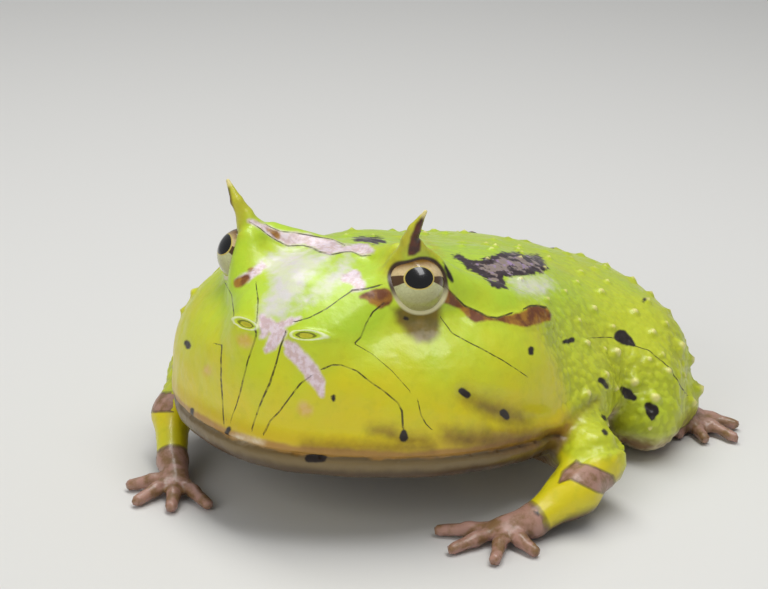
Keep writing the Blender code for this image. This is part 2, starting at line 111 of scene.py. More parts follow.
# Body and limbs: each stretch is a chain of (place, radius), and the fingers and toes lie on the floor.
# headings are the fingers' from the inner one to the outer one, in degrees, and TOES are (heading, length).
BODY_HALF_WIDTH = 39.0
LEFT_ARM = {
    "upper_arm": [((28, 0, 12.0), 7.6), ((44.6, -11, 10.0), 5.4)],
    "forearm": [((44.8, -11.5, 9.6), 4.9), ((44.6, -19.8, 6.8), 4.2), ((41, -27.8, 3.8), 2.9)],
    "palm": [((40.2, -28.6, 3.3), 2.8), ((36.5, -31.5, 2.4), 2.3)],
    "headings": (-159, -118, -72, -25),
}
RIGHT_ARM = {
    "upper_arm": [((-28, 0, 13.5), 7.6), ((-38.6, -16, 13.8), 4.6)],
    "forearm": [((-38.6, -16.5, 13.4), 4.4), ((-36.4, -27.5, 8.7), 3.4), ((-30.6, -36.5, 4.0), 2.8)],
    "palm": [((-29.8, -37.5, 3.4), 2.8), ((-26.8, -40.5, 2.4), 2.3)],
    "headings": (-28, -62, -100, -145),
}
LEG = {
    "thigh": [((16, 46, 14), 10.4), ((34.6, 30.5, 12.6), 10.1), ((39.8, 21.5, 12), 8.6)],
    "shank": [((42.5, 17.5, 8.0), 7.0), ((40.8, 31.2, 6.8), 6.3), ((33.5, 43.5, 4.8), 4.4)],
    "foot": [((33.5, 44.5, 4.2), 3.8), ((39, 40.5, 3.4), 3.2), ((43.5, 36, 2.6), 2.6)],
}
TOES = ((-100, 7.0), (-74, 9.0), (-48, 11.5), (-22, 13.5), (8, 10.0))
FINGER_LENGTHS = (11.5, 11.0, 10.5, 8.5)
DIGIT_RADIUS = 1.35

# The voxel of the skin's mesh, which is halved over the head and the near flank.
SKIN_VOXEL = 0.95

# Warts: (radius, height) of the three sizes. The photo's stand at least WART_CROWDING apart, and the
# scattered ones, which are tried at chance places over a span of y and of rise, WART_SPACING. Above
# WART_SHOULDER they are all small. The hidden side has the photo's ones, shifted by up to WART_SHIFT.
WART_SIZES = [(1.9, 1.7), (1.4, 1.1), (1.0, 0.8)]
WART_CROWDING = 2.4
WART_SPACING = 5.0
WART_SHOULDER = 28
WART_SHIFT = (1.5, 3)
WART_TRIES = 500
WART_YS = (0, 54)
WART_RISES = (-8, 80)
SEED = 11

# Two warts that stand out behind the right eye: (place, radius, height).
CHEEK_WARTS = [((-32.4, -24.6, 33.0), 1.2, 1.1), ((-33.0, -27.6, 30.2), 1.0, 0.8)]
# The left flank's warts in the photo: (y, rise in degrees about the axis of the body, size).
BODY_AXIS_Z = 14
FLANK_WARTS = [
    (-5, 8, 1), (3, 9.5, 1), (9, 14, 2), (12, 11.5, 0), (16, 17.5, 2), (13, 3, 0), (15, 24.5, 1),
    (14, -1, 0), (19, 4, 1), (17, 7.5, 2), (20.5, 7.5, 2), (23.5, 12, 1), (23, 27, 1), (27.5, -7, 0),
    (29, 6, 0), (29.5, 12, 2), (30, 28, 2), (32, 18, 1), (33, -6, 0), (34, 0.5, 0), (34.5, 33.5, 1),
    (40, 17, 1), (41, 31.5, 2), (43, 37, 2),
]

# Marks traced in the photo. A run is a stroke through (pixel x, pixel y, half of its breadth in
# pixels), and an area is the outline of a patch, in pixels.
MAUVE_RUNS = [
    [(250, 221, 2), (264, 229, 4), (277, 236, 5), (290, 240, 6.5), (304, 240, 6), (317, 244, 5.5),
     (330, 248.5, 8), (343, 250, 3.6), (352, 249.5, 3.4), (364, 250, 6.5), (372, 252, 3)],
    [(345, 279, 4), (354, 277, 7), (361, 286, 5), (353, 291, 2)],
    [(287, 344, 4), (292, 350, 8), (300, 359, 8), (311, 371, 8), (318, 383, 7), (322, 396, 2)],
    [(263, 318, 4), (266, 328, 6), (262, 337, 3)],
    [(268, 322, 5), (279, 332, 8), (272, 345, 6), (267, 350, 3)],
    [(279, 327, 5), (289, 322, 4), (300, 318, 2)],
    [(238, 281, 3), (246, 277, 5), (253, 273, 4), (262, 266, 4)],
]
# Pale lilac skin between the eyes with a painted sheen highlight on it, and a painted sheen highlight on the
# back.
PALE_SKIN_AND_SHEEN_AREAS = [
    [(262, 262), (275, 252), (288, 249), (308, 252), (329, 257), (321, 268), (310, 277), (301, 292),
     (292, 304), (284, 318), (260, 320), (262, 305), (270, 292), (272, 276)],
    [(292, 316), (306, 303), (330, 291), (347, 276), (352, 262), (347, 257), (338, 268), (322, 281),
     (304, 299), (290, 312)],
    [(511, 280), (530, 277), (549, 280), (553, 288), (540, 294), (520, 291)],
]
PINK_RUNS = [
    [(243, 340, 6), (246, 341, 6)],
    [(304, 408, 6), (306, 410, 6)],
    [(207, 369, 3), (208, 372, 3)],
]
BROWN_RUNS = [
    [(361, 297, 2), (367, 296, 4), (375, 297, 8), (384, 297, 9), (380, 304, 5)],
    [(268, 230, 2), (275, 234, 3.5), (278, 238, 2)],
    [(238, 283, 5), (246, 278, 4)],
    [(249, 270, 2), (252, 269, 1.5)],
]
# Golden skin round the roots of the horns.
GOLD_RUNS = [
    [(407, 236, 2), (402, 246, 6), (396, 256, 9), (390, 268, 9)],
    [(424, 240, 2), (430, 248, 4), (437, 257, 4)],
    [(233, 206, 3), (237, 220, 4), (240, 234, 3)],
]
BROWN_AREAS = [
    [(441, 285), (447, 288), (452, 294), (464, 306), (478, 312), (486, 317), (496, 318.5), (504, 316),
     (515, 314), (524, 311), (527, 306.5), (536, 305.5), (545, 307.5), (550.5, 314.5), (549.5, 320.5),
     (537, 324.5), (524, 328), (511, 325), (499, 322.5), (487, 321), (475, 323.5), (467, 318), (459, 309.5),
     (448, 304), (441, 302)],
]
BLOTCH_AREAS = [
    [(451, 255), (460, 254), (466, 260), (479, 260), (490, 257), (501, 252), (513, 251), (525, 255),
     (537, 254), (545, 262), (549, 269), (541, 273), (529, 275), (518, 276), (504, 276), (507, 288),
     (499, 290), (488, 283), (479, 275), (469, 269), (460, 262)],
    [(352, 238), (366, 236), (384, 238), (386, 243), (372, 244), (356, 243)],
]
LINE_RUNS = [
    [(216, 344, 1.2), (222, 345, 1.5), (221, 360, 1.8), (221, 378, 2.2), (223, 403, 1.6), (224, 424, 1.6)],
    [(256, 284, 1), (258, 300, 2), (257, 318, 1.6), (256, 336, 2.6), (248, 360, 1.8), (241, 388, 2.2),
     (237, 403, 1.4), (231, 421, 1.2)],
    [(286, 333, 2.6), (281, 346, 2.2), (277, 360, 2), (270, 383, 2.8), (259, 407, 2), (252, 429, 1.8)],
    [(311, 376, 1.8), (300, 384, 2.4), (288, 400, 1.8), (279, 412, 2), (270, 421, 2), (264, 433, 2.8)],
    [(323, 369, 2.4), (332, 365, 1.8), (341, 365, 1.8), (357, 371, 1.8), (369, 381, 2), (385, 392, 2),
     (398, 403, 2), (402, 411, 2.6), (403, 428, 2.6)],
    [(295, 322, 1.4), (309, 318, 1.4), (326, 309, 1.6), (340, 299, 1.2), (352, 291, 1.8)],
    [(383, 304, 2.6), (373, 312, 2), (366, 324, 2), (361, 337, 2.4), (355, 343, 1.8)],
    [(441, 318, 1), (452, 333, 1.4), (466, 341, 1.4), (484, 350, 1.6), (504, 361, 1.4), (526, 376, 1)],
    [(355, 344, 1), (372, 354, 0.8), (392, 371, 0.8), (410, 391, 0.9)],
    [(418, 401, 1.2), (421, 415, 1.6), (426, 424, 1.4), (431, 429, 1)],
    [(225, 283, 1), (232, 296, 1), (234, 316, 1.2)],
    [(590, 338, 0.8), (605, 337, 1.2), (616, 338, 1.2)],
    [(632, 345, 1), (648, 350, 1), (662, 361, 1.4), (675, 377, 1.6), (686, 394, 1.2)],
]
BAND_EDGES = [
    [(446, 288, 1.2), (452, 294, 2), (464, 306, 2.4), (478, 312.5, 2.4), (487, 317.5, 2.6), (497, 318.5, 2.4),
     (504, 316, 2), (511, 313.5, 2.6)],
    [(524, 309, 2), (530, 306, 2.6), (538, 306, 2.4), (546, 308.5, 2.6)],
    [(250, 223, 1), (262, 232, 1.2), (274, 239.6, 1.4), (287.5, 247, 1.8), (303, 246.5, 1.2), (312, 249, 2),
     (321, 253.5, 2), (331, 256.4, 1.8), (343, 253.5, 1.6), (352, 253, 1.4), (361, 257, 1.6),
     (370, 256.5, 1.2)],
    [(266, 226, 1), (280, 232, 1.4), (292, 233.5, 1), (318, 238.5, 1.6), (332, 241, 1), (343, 246, 1.6)],
    [(352, 290.5, 2.2), (366, 289, 2.4), (380, 285, 2)],
]
HORN_FACE = [
    [(423.5, 214), (416, 224), (411, 236), (408, 247), (407.5, 256), (415, 255), (420.5, 251), (420.5, 240),
     (421.5, 228), (425.5, 216)],
]
FAR_HORN_EDGE = [(228.5, 188, 1), (230, 200, 1.6), (233, 213, 1.6), (234, 224, 2)]
# Where a fold or an overhang is darker.
SHADE_RUNS = [
    [(448, 436, 7), (470, 440, 10), (500, 441, 12), (530, 440, 12), (558, 437, 8)],
    [(468, 398, 4), (490, 408, 8), (512, 417, 8), (528, 422, 4)],
    [(374, 430, 3), (390, 433, 5), (400, 440, 4), (425, 441, 4)],
    [(306, 445, 3), (340, 447, 3), (380, 448, 3), (430, 447, 4)],
]
# A painted highlight on the lip's brightest stretch, under the far eye.
LIP_HIGHLIGHT_RUNS = [[(232, 436, 1.5), (246, 440, 3), (262, 443, 1.5)]]
CORNER_FOLD = [(596, 401, 1), (581, 412, 1.5), (570, 425, 2), (565, 436, 2), (552, 450, 2), (537, 463, 1.5)]
LIP_RIDGE = [(498, 430, 1), (530, 428, 1.5), (561, 426, 1)]
SPOT_RUNS = [
    [(404, 432, 2.6), (404, 437, 4.6)],
    [(229, 429, 2.4), (226, 434, 2.6)],
    [(192, 410, 1.8), (192, 415, 1.8)],
    [(187, 343, 3), (188, 346, 3)],
    [(333, 397, 2.6), (334, 400, 2)],
    [(463, 391, 3.4), (469, 395, 4)],
    [(506, 414, 4), (510, 418, 3)],
    [(531, 349, 3), (531, 353, 2.6)],
    [(564, 342, 2), (572, 340, 3)],
    [(621, 336, 6.5), (628, 341, 5), (634, 345, 2)],
    [(601, 380, 3), (607, 386, 3)],
    [(622, 389, 3), (628, 394, 5), (634, 398, 3)],
    [(648, 406, 4), (652, 411, 6.5), (652, 418, 3)],
    [(603, 416, 2), (605, 419, 2)],
    [(604, 431, 2.4), (606, 434, 2.4)],
    [(443, 262, 1), (446, 268, 1.4), (449, 275, 3), (452, 281, 2)],
    [(308, 459, 3.4), (323, 459, 3.4)],
    [(536, 513, 3), (537, 514, 3)],
    [(405, 318, 2), (407, 319, 1.6)],
    [(643, 300, 1.5), (644, 302, 1.5)],
]
CHEEK_FOLD = [(468, 396, 3), (490, 405, 7), (515, 417, 8), (548, 426, 4)]
# The lower lid's pouch under the left eye: its olive-brown skin and the painted shadow that the eye casts on
# it.
EYE_POUCH_AND_SHADOW = [(392, 309), (397, 322), (406, 333), (418, 342), (430, 343), (438, 336), (441, 322), (441, 300)]
FLANK_FOLD = [(556, 479, 1), (574, 461, 3), (595, 448, 3), (616, 444, 3), (640, 441, 2)]
ARM_BAND_AREAS = [
    [(575, 457), (586, 463), (603, 471), (614, 476), (616, 496), (597, 492), (583, 485), (571, 479),
     (556, 481), (560, 470), (566, 464)],
    [(535, 506), (540, 514), (544, 524), (540, 545), (420, 555), (420, 515), (505, 515), (518, 518)],
    [(150, 393), (182, 392), (184, 411), (150, 412)],
    [(150, 452), (190, 450), (190, 474), (150, 476)],
]
# The hidden part of the back, in plan: strokes through (x, y, half of the breadth).
BACK_RUNS = [
    [(-7, 26, 3), (-9, 33, 4.5), (-7, 39, 2.5)],
    [(8, 30, 2.5), (10, 36, 4), (7, 44, 3)],
    [(-20, 16, 2), (-23, 24, 3.5), (-20, 31, 2.5)],
    [(-1, 48, 2), (1, 53, 3)],
    [(22, 40, 2.2), (19, 47, 2.6)],
    [(-19, 42, 2.2), (-16, 49, 2.4)],
]
# Dark bands of the limbs where the photo doesn't show them: (centre on the limb, radius).
LIMB_BANDS = [
    ((38, 24, 20), 4.5), ((45, 30, 9), 4.0), ((44, 16, 12), 3.0), ((38, 40, 7), 5.0), ((24, 46, 21), 4.0),
]
# What is pressed into the skin, or stands out of it where the depth is negative: (runs, areas, whether
# the hidden side gets it too, depth, breadth).
CREASES = (
    ([CHEEK_FOLD], [], True, 0.8, 1.6),
    ([FLANK_FOLD], [], True, 0.8, 0.9),
    ([CORNER_FOLD], [], True, 0.7, 0.9),
    ([LIP_RIDGE], [], True, -0.45, 1.0),
    (MAUVE_RUNS[:1], [], False, -0.3, 0.6),
    ([], BROWN_AREAS, True, -0.25, 0.5),
)
MOUTH_SLIT = (1.0, 0.36)
# The rounded lumps of the granular skin, and the two sizes of unevenness all over: (size, height, offset).
LUMP_SIZE = 1.5
LUMP_HEIGHT = 0.3
UNEVENNESS = ((5.0, 0.12, 7.0), (1.4, 0.05, 3.0))
# The arms are granular down to this height, and smooth below it.
ARM_GRAIN_Z = 11
# A distance that stands for no mark near.
FAR = 50.0
# A place counts as seen by the camera if no skin is before it by more than this.
SIGHT_SLACK = 1.2
# Nothing is mirrored on to what lies this close to the middle, where the two halves' marks would meet.
MIDDLE = 4.0
# The mauve band over the head is no wider than this to each side of its line.
BAND_REACH = 3.2
# How far the bands of the arms, and the brown of the hands and feet, reach off the limb's own flesh.
ARM_BAND_REACH = 1.2
HAND_BROWN_REACH = 0.8
# The hidden back is what the photo doesn't show above this height.
BACK_Z = 16
# The traced lines' widths are whole ones, and a little soft in the photo.
LINE_SHARE = 0.42
# The heights between which yellow turns to lime, in millimetres.
GREEN_RISE = (18, 46)


def plan_reach(x, y, power):
    """How far out places are. At a power under 2 a line of one reach is a circle with flatter quarters."""
    return (np.abs(x) ** power + np.abs(y) ** power) ** (1 / power)


class Ball:
    """An ellipsoid of flesh, cut level at floor. pitch turns it about X and yaw about Z, in degrees."""

    def __init__(self, centre, radii, pitch=0.0, yaw=0.0, blend=6.0, floor=0.0, power=2.0):
        self.centre = np.array(centre, float)
        self.radii = np.array(radii, float)
        self.pitch = pitch
        self.yaw = yaw
        self.blend = blend
        self.floor = floor
        self.power = power

    def turn(self):
        return Matrix.Rotation(radians(self.yaw), 3, "Z") @ Matrix.Rotation(radians(self.pitch), 3, "X")

    def mirrored(self):
        flipped = self.centre * (-1, 1, 1)
        return Ball(flipped, self.radii, self.pitch, -self.yaw, self.blend, self.floor, self.power)

    def corners(self):
        reach = self.radii.max()
        return self.centre - reach, self.centre + reach

    def distance(self, points):
        local = (points - self.centre) @ np.array(self.turn())
        share = local / self.radii
        scaled = np.hypot(plan_reach(share[:, 0], share[:, 1], self.power), share[:, 2]) + 1e-9
        slope = np.linalg.norm(local / self.radii**2, axis=1) + 1e-9
        return np.maximum(scaled * (scaled - 1) / slope, self.floor - points[:, 2])

    def add_to(self, mesh):
        place = Matrix.Translation(self.centre) @ self.turn().to_4x4() @ Matrix.Diagonal((*self.radii, 1))
        made = bmesh.ops.create_uvsphere(mesh, u_segments=40, v_segments=24, radius=1, matrix=place)
        for vert in made["verts"]:
            vert.co.z = max(vert.co.z, self.floor)


class Bone:
    """A tapered capsule of flesh between two points."""

    def __init__(self, start, end, start_radius, end_radius, blend=3.0):
        self.start = np.array(start, float)
        self.end = np.array(end, float)
        self.radii = (start_radius, end_radius)
        self.blend = blend

    def mirrored(self):
        flip = (-1, 1, 1)
        return Bone(self.start * flip, self.end * flip, *self.radii, self.blend)

    def corners(self):
        reach = max(self.radii)
        return np.minimum(self.start, self.end) - reach, np.maximum(self.start, self.end) + reach

    def distance(self, points):
        along = self.end - self.start
        share = np.clip((points - self.start) @ along / (along @ along), 0, 1)
        nearest = self.start + share[:, None] * along
        radius = self.radii[0] + share * (self.radii[1] - self.radii[0])
        return np.linalg.norm(points - nearest, axis=1) - radius

    def add_to(self, mesh):
        piece = bmesh.new()
        for centre, radius in zip((self.start, self.end), self.radii):
            place = Matrix.Translation(centre)
            bmesh.ops.create_uvsphere(piece, u_segments=16, v_segments=10, radius=radius, matrix=place)
        hull = bmesh.ops.convex_hull(piece, input=piece.verts)
        inner = [v for v in hull["geom_interior"] if isinstance(v, bmesh.types.BMVert)]
        bmesh.ops.delete(piece, geom=inner, context="VERTS")
        copy = bpy.data.meshes.new("capsule")
        piece.to_mesh(copy)
        piece.free()
        mesh.from_mesh(copy)
        bpy.data.meshes.remove(copy)


def both_sides(masses):
    """Some masses and their mirror images."""
    return masses + [mass.mirrored() for mass in masses]


def smooth_min(a, b, blend):
    """The lesser of two distances, rounded over where they differ by less than blend."""
    near = np.maximum(blend - np.abs(a - b), 0) / blend
    return np.minimum(a, b) - near * near * blend / 4


def flesh_distance(masses, points):
    """Signed distance to the blended surface of some masses."""
    total = masses[0].distance(points)
    for mass in masses[1:]:
        total = smooth_min(total, mass.distance(points), mass.blend)
    return total


def mouth_height(y):
    """The mouth slit is a little lower at its corners than at the snout."""
    return MOUTH_Z - MOUTH_SLOPE * (y - SNOUT_Y)


def head_masses():
    """The skull and the jaw, then what is the same on both sides: cheeks, lids' sockets and crests."""
    ex, ey, ez = EYE
    sill = MOUTH_Z - 2.2
    wide = JAW_RADIUS - 0.6
    skull = [
        Ball((0, JAW_Y, MOUTH_Z - 1.0), (wide, wide - 0.2, 26.0), floor=sill, power=JAW_POWER),
        Ball((0, -33.0, 34.5), (13.0, 14.5, 12.5), blend=5.0, floor=sill),
        Ball((0, -35.5, 28.0), (20.0, 15.5, 12.0), floor=sill),
        Ball((0, -22.0, 34.0), (17.0, 18.0, 12.5), floor=sill),
        Ball((0, JAW_Y, MOUTH_Z - 1.4), (wide - 0.2, wide - 0.4, 5.2), blend=2.0, power=JAW_POWER),
        Ball((0, -8.0, 15.5), (27.0, 24.0, 9.5)),
    ]
    paired = both_sides([
        Ball((15.0, -24.5, 24.5), (18.0, 18.0, 15.5), blend=7.0, floor=sill),
        Ball((ex - 4.5, ey + 2.5, ez - 5.0), (7.6, 8.0, 7.2), blend=5.0, floor=sill),
        Ball((ex - 2.1, ey + 2.3, ez - 1.8), (6.3, 6.3, 6.3), blend=2.5, floor=sill),
        Ball((22.0, -17.0, 25.2), (12.6, 12.6, 11.4), blend=8.0),
        Bone((ex + 2.5, ey + 6.0, ez - 1.5), (29.6, -7.0, 33.4), 3.5, 3.2, blend=5.0),
        Bone((ex - 4.4, ey + 2.1, ez + 4.5), (5.5, -23.4, 45.8), 2.0, 1.7, blend=3.0),
        Bone((ex + 1.4, ey + 2.9, ez + 3.3), (ex + 0.8, ey + 0.1, ez + 7.3), 1.9, 0.9, blend=1.5),
        Bone((ex - 5.2, ey - 4.2, ez - 1.6), (6.6, -45.0, 36.4), 2.3, 2.4, blend=6.0),
    ])
    return skull + paired + chain(RIGHT_BROW, blend=4.0)


def torso_masses():
    return [
        Ball((0, 11.0, 18.0), (BODY_HALF_WIDTH - 2, 33.0, 16.5), pitch=-8, blend=8.0),
        Ball((0, 30.0, 16.5), (BODY_HALF_WIDTH + 1, 30.5, 16.5), pitch=-9, blend=10.0),
        *both_sides([
            Ball((14.0, 4.0, 22.5), (18.0, 21.0, 16.0), blend=6.0),
            Ball((30.5, 0.5, 15.5), (11.0, 13.0, 9.5), blend=5.0),
        ]),
    ]


def chain(points, blend=3.0):
    """Tapered bones through a list of (point, radius)."""
    return [Bone(a, b, ra, rb, blend) for (a, ra), (b, rb) in zip(points, points[1:])]


def digit(base, heading, length, radius):
    """A finger or toe on the floor, with a slightly swollen tip."""
    step = np.array([cos(heading), sin(heading), 0.0])
    knuckle = np.array([base[0], base[1], radius + 1.2])
    middle = knuckle + step * length * 0.55
    middle[2] = radius + 0.5
    tip = knuckle + step * length
    tip[2] = radius * 0.9
    return chain([(knuckle, radius * 1.05), (middle, radius * 0.88), (tip, radius * 0.8)], blend=1.0)


def hand_masses(arm):
    """The palm and its four fingers, from the inner one to the outer one."""
    masses = chain(arm["palm"], blend=2.0)
    base = np.array(arm["palm"][-1][0], float)
    for heading, length in zip(arm["headings"], FINGER_LENGTHS):
        masses += digit(base, radians(heading), length, DIGIT_RADIUS)
    return masses


def foot_masses():
    """The tarsus and five toes, longest at the fourth, with webs between their roots."""
    masses = chain(LEG["foot"], blend=2.0)
    base = np.array(LEG["foot"][-1][0], float)
    for heading, length in TOES:
        masses += digit(base, radians(heading), length, DIGIT_RADIUS)
    for (first, short), (second, long) in zip(TOES, TOES[1:]):
        middle = radians((first + second) / 2)
        reach = 0.5 * min(short, long)
        web = base + reach * 0.7 * np.array([cos(middle), sin(middle), 0])
        web[2] = 1.0
        masses.append(Ball(web, (reach * 0.75, reach * 0.34, 0.9), yaw=(first + second) / 2, blend=0.8))
    return masses


def limb_groups():
    """Each stretch of limb as (masses, how softly it joins what it grows from)."""
    leg = [(chain(LEG["thigh"]), 7.0), (chain(LEG["shank"]), 1.2), (foot_masses(), 1.6)]
    groups = leg + [([mass.mirrored() for mass in masses], blend) for masses, blend in leg]
    for arm in (LEFT_ARM, RIGHT_ARM):
        groups += [(chain(arm["upper_arm"]), 4.0), (chain(arm["forearm"]), 2.5), (hand_masses(arm), 1.6)]
    horn = chain(HORN, blend=0.4)
    return groups + [(horn, 1.5), ([mass.mirrored() for mass in horn], 1.5)]


def plan_place(angle, reach):
    """A place on the jaw's outline in plan, by its angle from the snout."""
    wide = copysign(abs(sin(angle)) ** (2 / JAW_POWER), sin(angle))
    ahead = copysign(abs(cos(angle)) ** (2 / JAW_POWER), cos(angle))
    return reach * wide, JAW_Y - reach * ahead


def lip_arcs():
    """Short bones round the jaw, that give the rolled lips their rough form."""
    arcs = []
    for side, size in LIPS:
        reach = JAW_RADIUS - size
        angles = np.radians(np.linspace(-92, 92, 25))
        ring = [plan_place(t, reach) for t in angles]
        ring = [(x, y, mouth_height(y) + side * size) for x, y in ring]
        arcs += [Bone(start, end, size, size) for start, end in zip(ring, ring[1:])]
    return arcs


def lid_up(side):
    """The upward direction along the rim of an eye's lids."""
    axis = Vector((EYE_AXIS[0] * side, *EYE_AXIS[1:])).normalized()
    return np.array(axis.cross(Vector((0, 0, 1))).cross(axis).normalized())


def lid_arcs():
    """The same for the rim of the left eye's lids, which leans forward at the top."""
    axis = Vector(EYE_AXIS).normalized()
    up = Vector(lid_up(1))
    across = up.cross(axis)
    middle = Vector(EYE) + axis * LID_FORWARD
    lean = up * LID_RADIUS + axis * LID_LEAN
    angles = np.radians(np.linspace(0, 360, 17))
    ring = [middle + across * LID_RADIUS * cos(t) + lean * sin(t) for t in angles]
    return [Bone(start, end, LID_TUBE, LID_TUBE) for start, end in zip(ring, ring[1:])]


def lip_distance(points, total):
    """Adds the two rolled lips along the half circle of the jaw."""
    out = plan_reach(points[:, 0], points[:, 1] - JAW_Y, JAW_POWER)
    mouth = mouth_height(points[:, 1])
    for side, size in LIPS:
        ring = np.hypot(out - JAW_RADIUS + size, points[:, 2] - mouth - side * size) - size
        ring += np.maximum(points[:, 1] - JAW_Y - 1, 0)
        total = smooth_min(total, ring, 2.4)
    return total


def lid_distance(points, total):
    """Adds the rim of the lids round each eye."""
    for side in (1, -1):
        flip = np.array([side, 1, 1])
        axis = np.array(EYE_AXIS) * flip / np.linalg.norm(EYE_AXIS)
        local = points - np.array(EYE) * flip
        height = local @ axis
        out = np.sqrt(np.maximum((local**2).sum(axis=1) - height**2, 0))
        lean = LID_LEAN * local @ lid_up(side) / LID_RADIUS
        ring = np.hypot(out - LID_RADIUS, height - LID_FORWARD - lean) - LID_TUBE
        total = smooth_min(total, ring, 1.6)
    return total


TRUNK = head_masses() + torso_masses()
LIMBS = limb_groups()


def skin_distance(points):
    """Signed distance to the whole frog. A limb is only worked out near it."""
    total = lid_distance(points, lip_distance(points, flesh_distance(TRUNK, points)))
    for masses, blend in LIMBS:
        low = np.min([mass.corners()[0] for mass in masses], axis=0) - 6
        high = np.max([mass.corners()[1] for mass in masses], axis=0) + 6
        near = ((points > low) & (points < high)).all(axis=1)
        if near.any():
            total[near] = smooth_min(total[near], flesh_distance(masses, points[near]), blend)
    return total


def slope_of(distance, points, probe=0.05):
    """The direction in which a distance grows fastest, at each point."""
    here = distance(points)
    return np.stack([distance(points + step) - here for step in probe * np.eye(3)], axis=1) / probe


def settle(points, distance, steps):
    """Moves each point along the slope of the distance, on to its zero surface."""
    for _ in range(steps):
        here = distance(points)
        slope = slope_of(distance, points)
        steep = np.maximum((slope**2).sum(axis=1), 0.2)
        move = slope * (here / steep)[:, None]
        length = np.linalg.norm(move, axis=1, keepdims=True)
        points = points - move * np.minimum(1, 1.0 / np.maximum(length, 1e-9))
    points[:, 2] = np.maximum(points[:, 2], 0)
    return points


def coordinates(mesh):
    flat = np.empty(len(mesh.vertices) * 3, np.float32)
    mesh.vertices.foreach_get("co", flat)
    return flat.reshape(-1, 3).astype(float)


def set_coordinates(mesh, points):
    mesh.vertices.foreach_set("co", points.astype(np.float32).ravel())
    mesh.update()


def apply_modifiers(obj):
    """Makes what the modifiers give the object's own mesh."""
    graph = bpy.context.evaluated_depsgraph_get()
    mesh = bpy.data.meshes.new_from_object(obj.evaluated_get(graph))
    old = obj.data
    obj.modifiers.clear()
    obj.data = mesh
    bpy.data.meshes.remove(old)


def home():
    """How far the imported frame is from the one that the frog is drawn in, in metres."""
    low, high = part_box("eye_left")
    return (low + high) / 2 - Vector(EYE) * MM


def camera_axes():
    """The photo's right, up and forward directions."""
    turn, tilt = radians(CAMERA_TURN), radians(CAMERA_TILT)
    ahead = Vector((-sin(turn) * cos(tilt), cos(turn) * cos(tilt), -sin(tilt)))
    right = Vector((cos(turn), sin(turn), 0))
    return right, right.cross(ahead), ahead


def camera_place():
    """Where the photo was taken from, in millimetres, so that the left eye is at its pixel."""
    right, up, ahead = camera_axes()
    across = (EYE_PIXEL[0] - PHOTO[0] / 2) / PIXELS_PER_MM
    above = (PHOTO[1] / 2 - EYE_PIXEL[1]) / PIXELS_PER_MM
    return Vector(EYE) - right * across - up * above - ahead * CAMERA_DISTANCE


def pixels_of(points):
    """The photo pixel that each point is seen at."""
    right, up, ahead = (np.array(axis) for axis in camera_axes())
    local = points - np.array(camera_place())
    scale = PIXELS_PER_MM * CAMERA_DISTANCE / (local @ ahead)
    return np.stack([PHOTO[0] / 2 + local @ right * scale, PHOTO[1] / 2 - local @ up * scale], axis=1)


def rough_skin():
    """Every mass fused by a voxel remesh, and finer where the photo shows the skin close."""
    rough = bmesh.new()
    # The horns' tips are thicker here than in the end, so that no voxel is too large for them.
    tips = both_sides([Bone(HORN[-1][0], HORN[-2][0], 0.9, 1.3)])
    masses = TRUNK + lip_arcs() + both_sides(lid_arcs()) + tips
    for mass in masses + [mass for group in LIMBS for mass in group[0]]:
        mass.add_to(rough)
    mesh = bpy.data.meshes.new("skin")
    rough.to_mesh(mesh)
    rough.free()
    skin = bpy.data.objects.new("skin", mesh)
    bpy.context.scene.collection.objects.link(skin)
    fuse = skin.modifiers.new("Fuse", "REMESH")
    fuse.mode = "VOXEL"
    fuse.voxel_size = SKIN_VOXEL
    apply_modifiers(skin)
    set_coordinates(skin.data, settle(coordinates(skin.data), skin_distance, 4))
    refined = bmesh.new()
    refined.from_mesh(skin.data)
    close = [edge for edge in refined.edges if all(needs_detail(vert.co) for vert in edge.verts)]
    bmesh.ops.subdivide_edges(refined, edges=close, cuts=1, use_grid_fill=True)
    bmesh.ops.triangulate(refined, faces=[face for face in refined.faces if len(face.verts) > 4])
    refined.to_mesh(skin.data)
    refined.free()
    return skin


def photo_shows(points, tree):
    """Which points the camera sees, with no other skin before them."""
    eye = camera_place()
    shown = np.zeros(len(points), bool)
    for i, point in enumerate(points):
        aim = Vector(point) - eye
        reach = aim.length
        hit = tree.ray_cast(eye, aim / reach)[3]
        shown[i] = hit is None or hit > reach - SIGHT_SLACK
    return shown


def run_distance(places, run):
    """Signed distance from flat places to a stroke of changing breadth."""
    run = np.array(run, float)
    best = np.full(len(places), np.inf)
    for start, end in zip(run, run[1:]):
        along = end[:2] - start[:2]
        share = np.clip((places - start[:2]) @ along / max(along @ along, 1e-9), 0, 1)
        gap = np.linalg.norm(places - start[:2] - share[:, None] * along, axis=1)
        best = np.minimum(best, gap - start[2] - share * (end[2] - start[2]))
    return best


def area_distance(places, outline):
    """Signed distance from flat places to a closed outline, negative inside it."""
    outline = np.array(outline, float)
    best = np.full(len(places), np.inf)
    inside = np.zeros(len(places), bool)
    for start, end in zip(outline, np.roll(outline, -1, axis=0)):
        along = end - start
        share = np.clip((places - start) @ along / (along @ along), 0, 1)
        best = np.minimum(best, np.linalg.norm(places - start - share[:, None] * along, axis=1))
        crosses = (start[1] > places[:, 1]) != (end[1] > places[:, 1])
        rise = along[1] if along[1] else 1e-9
        inside ^= crosses & (places[:, 0] < start[0] + (places[:, 1] - start[1]) * along[0] / rise)
    return np.where(inside, -best, best)


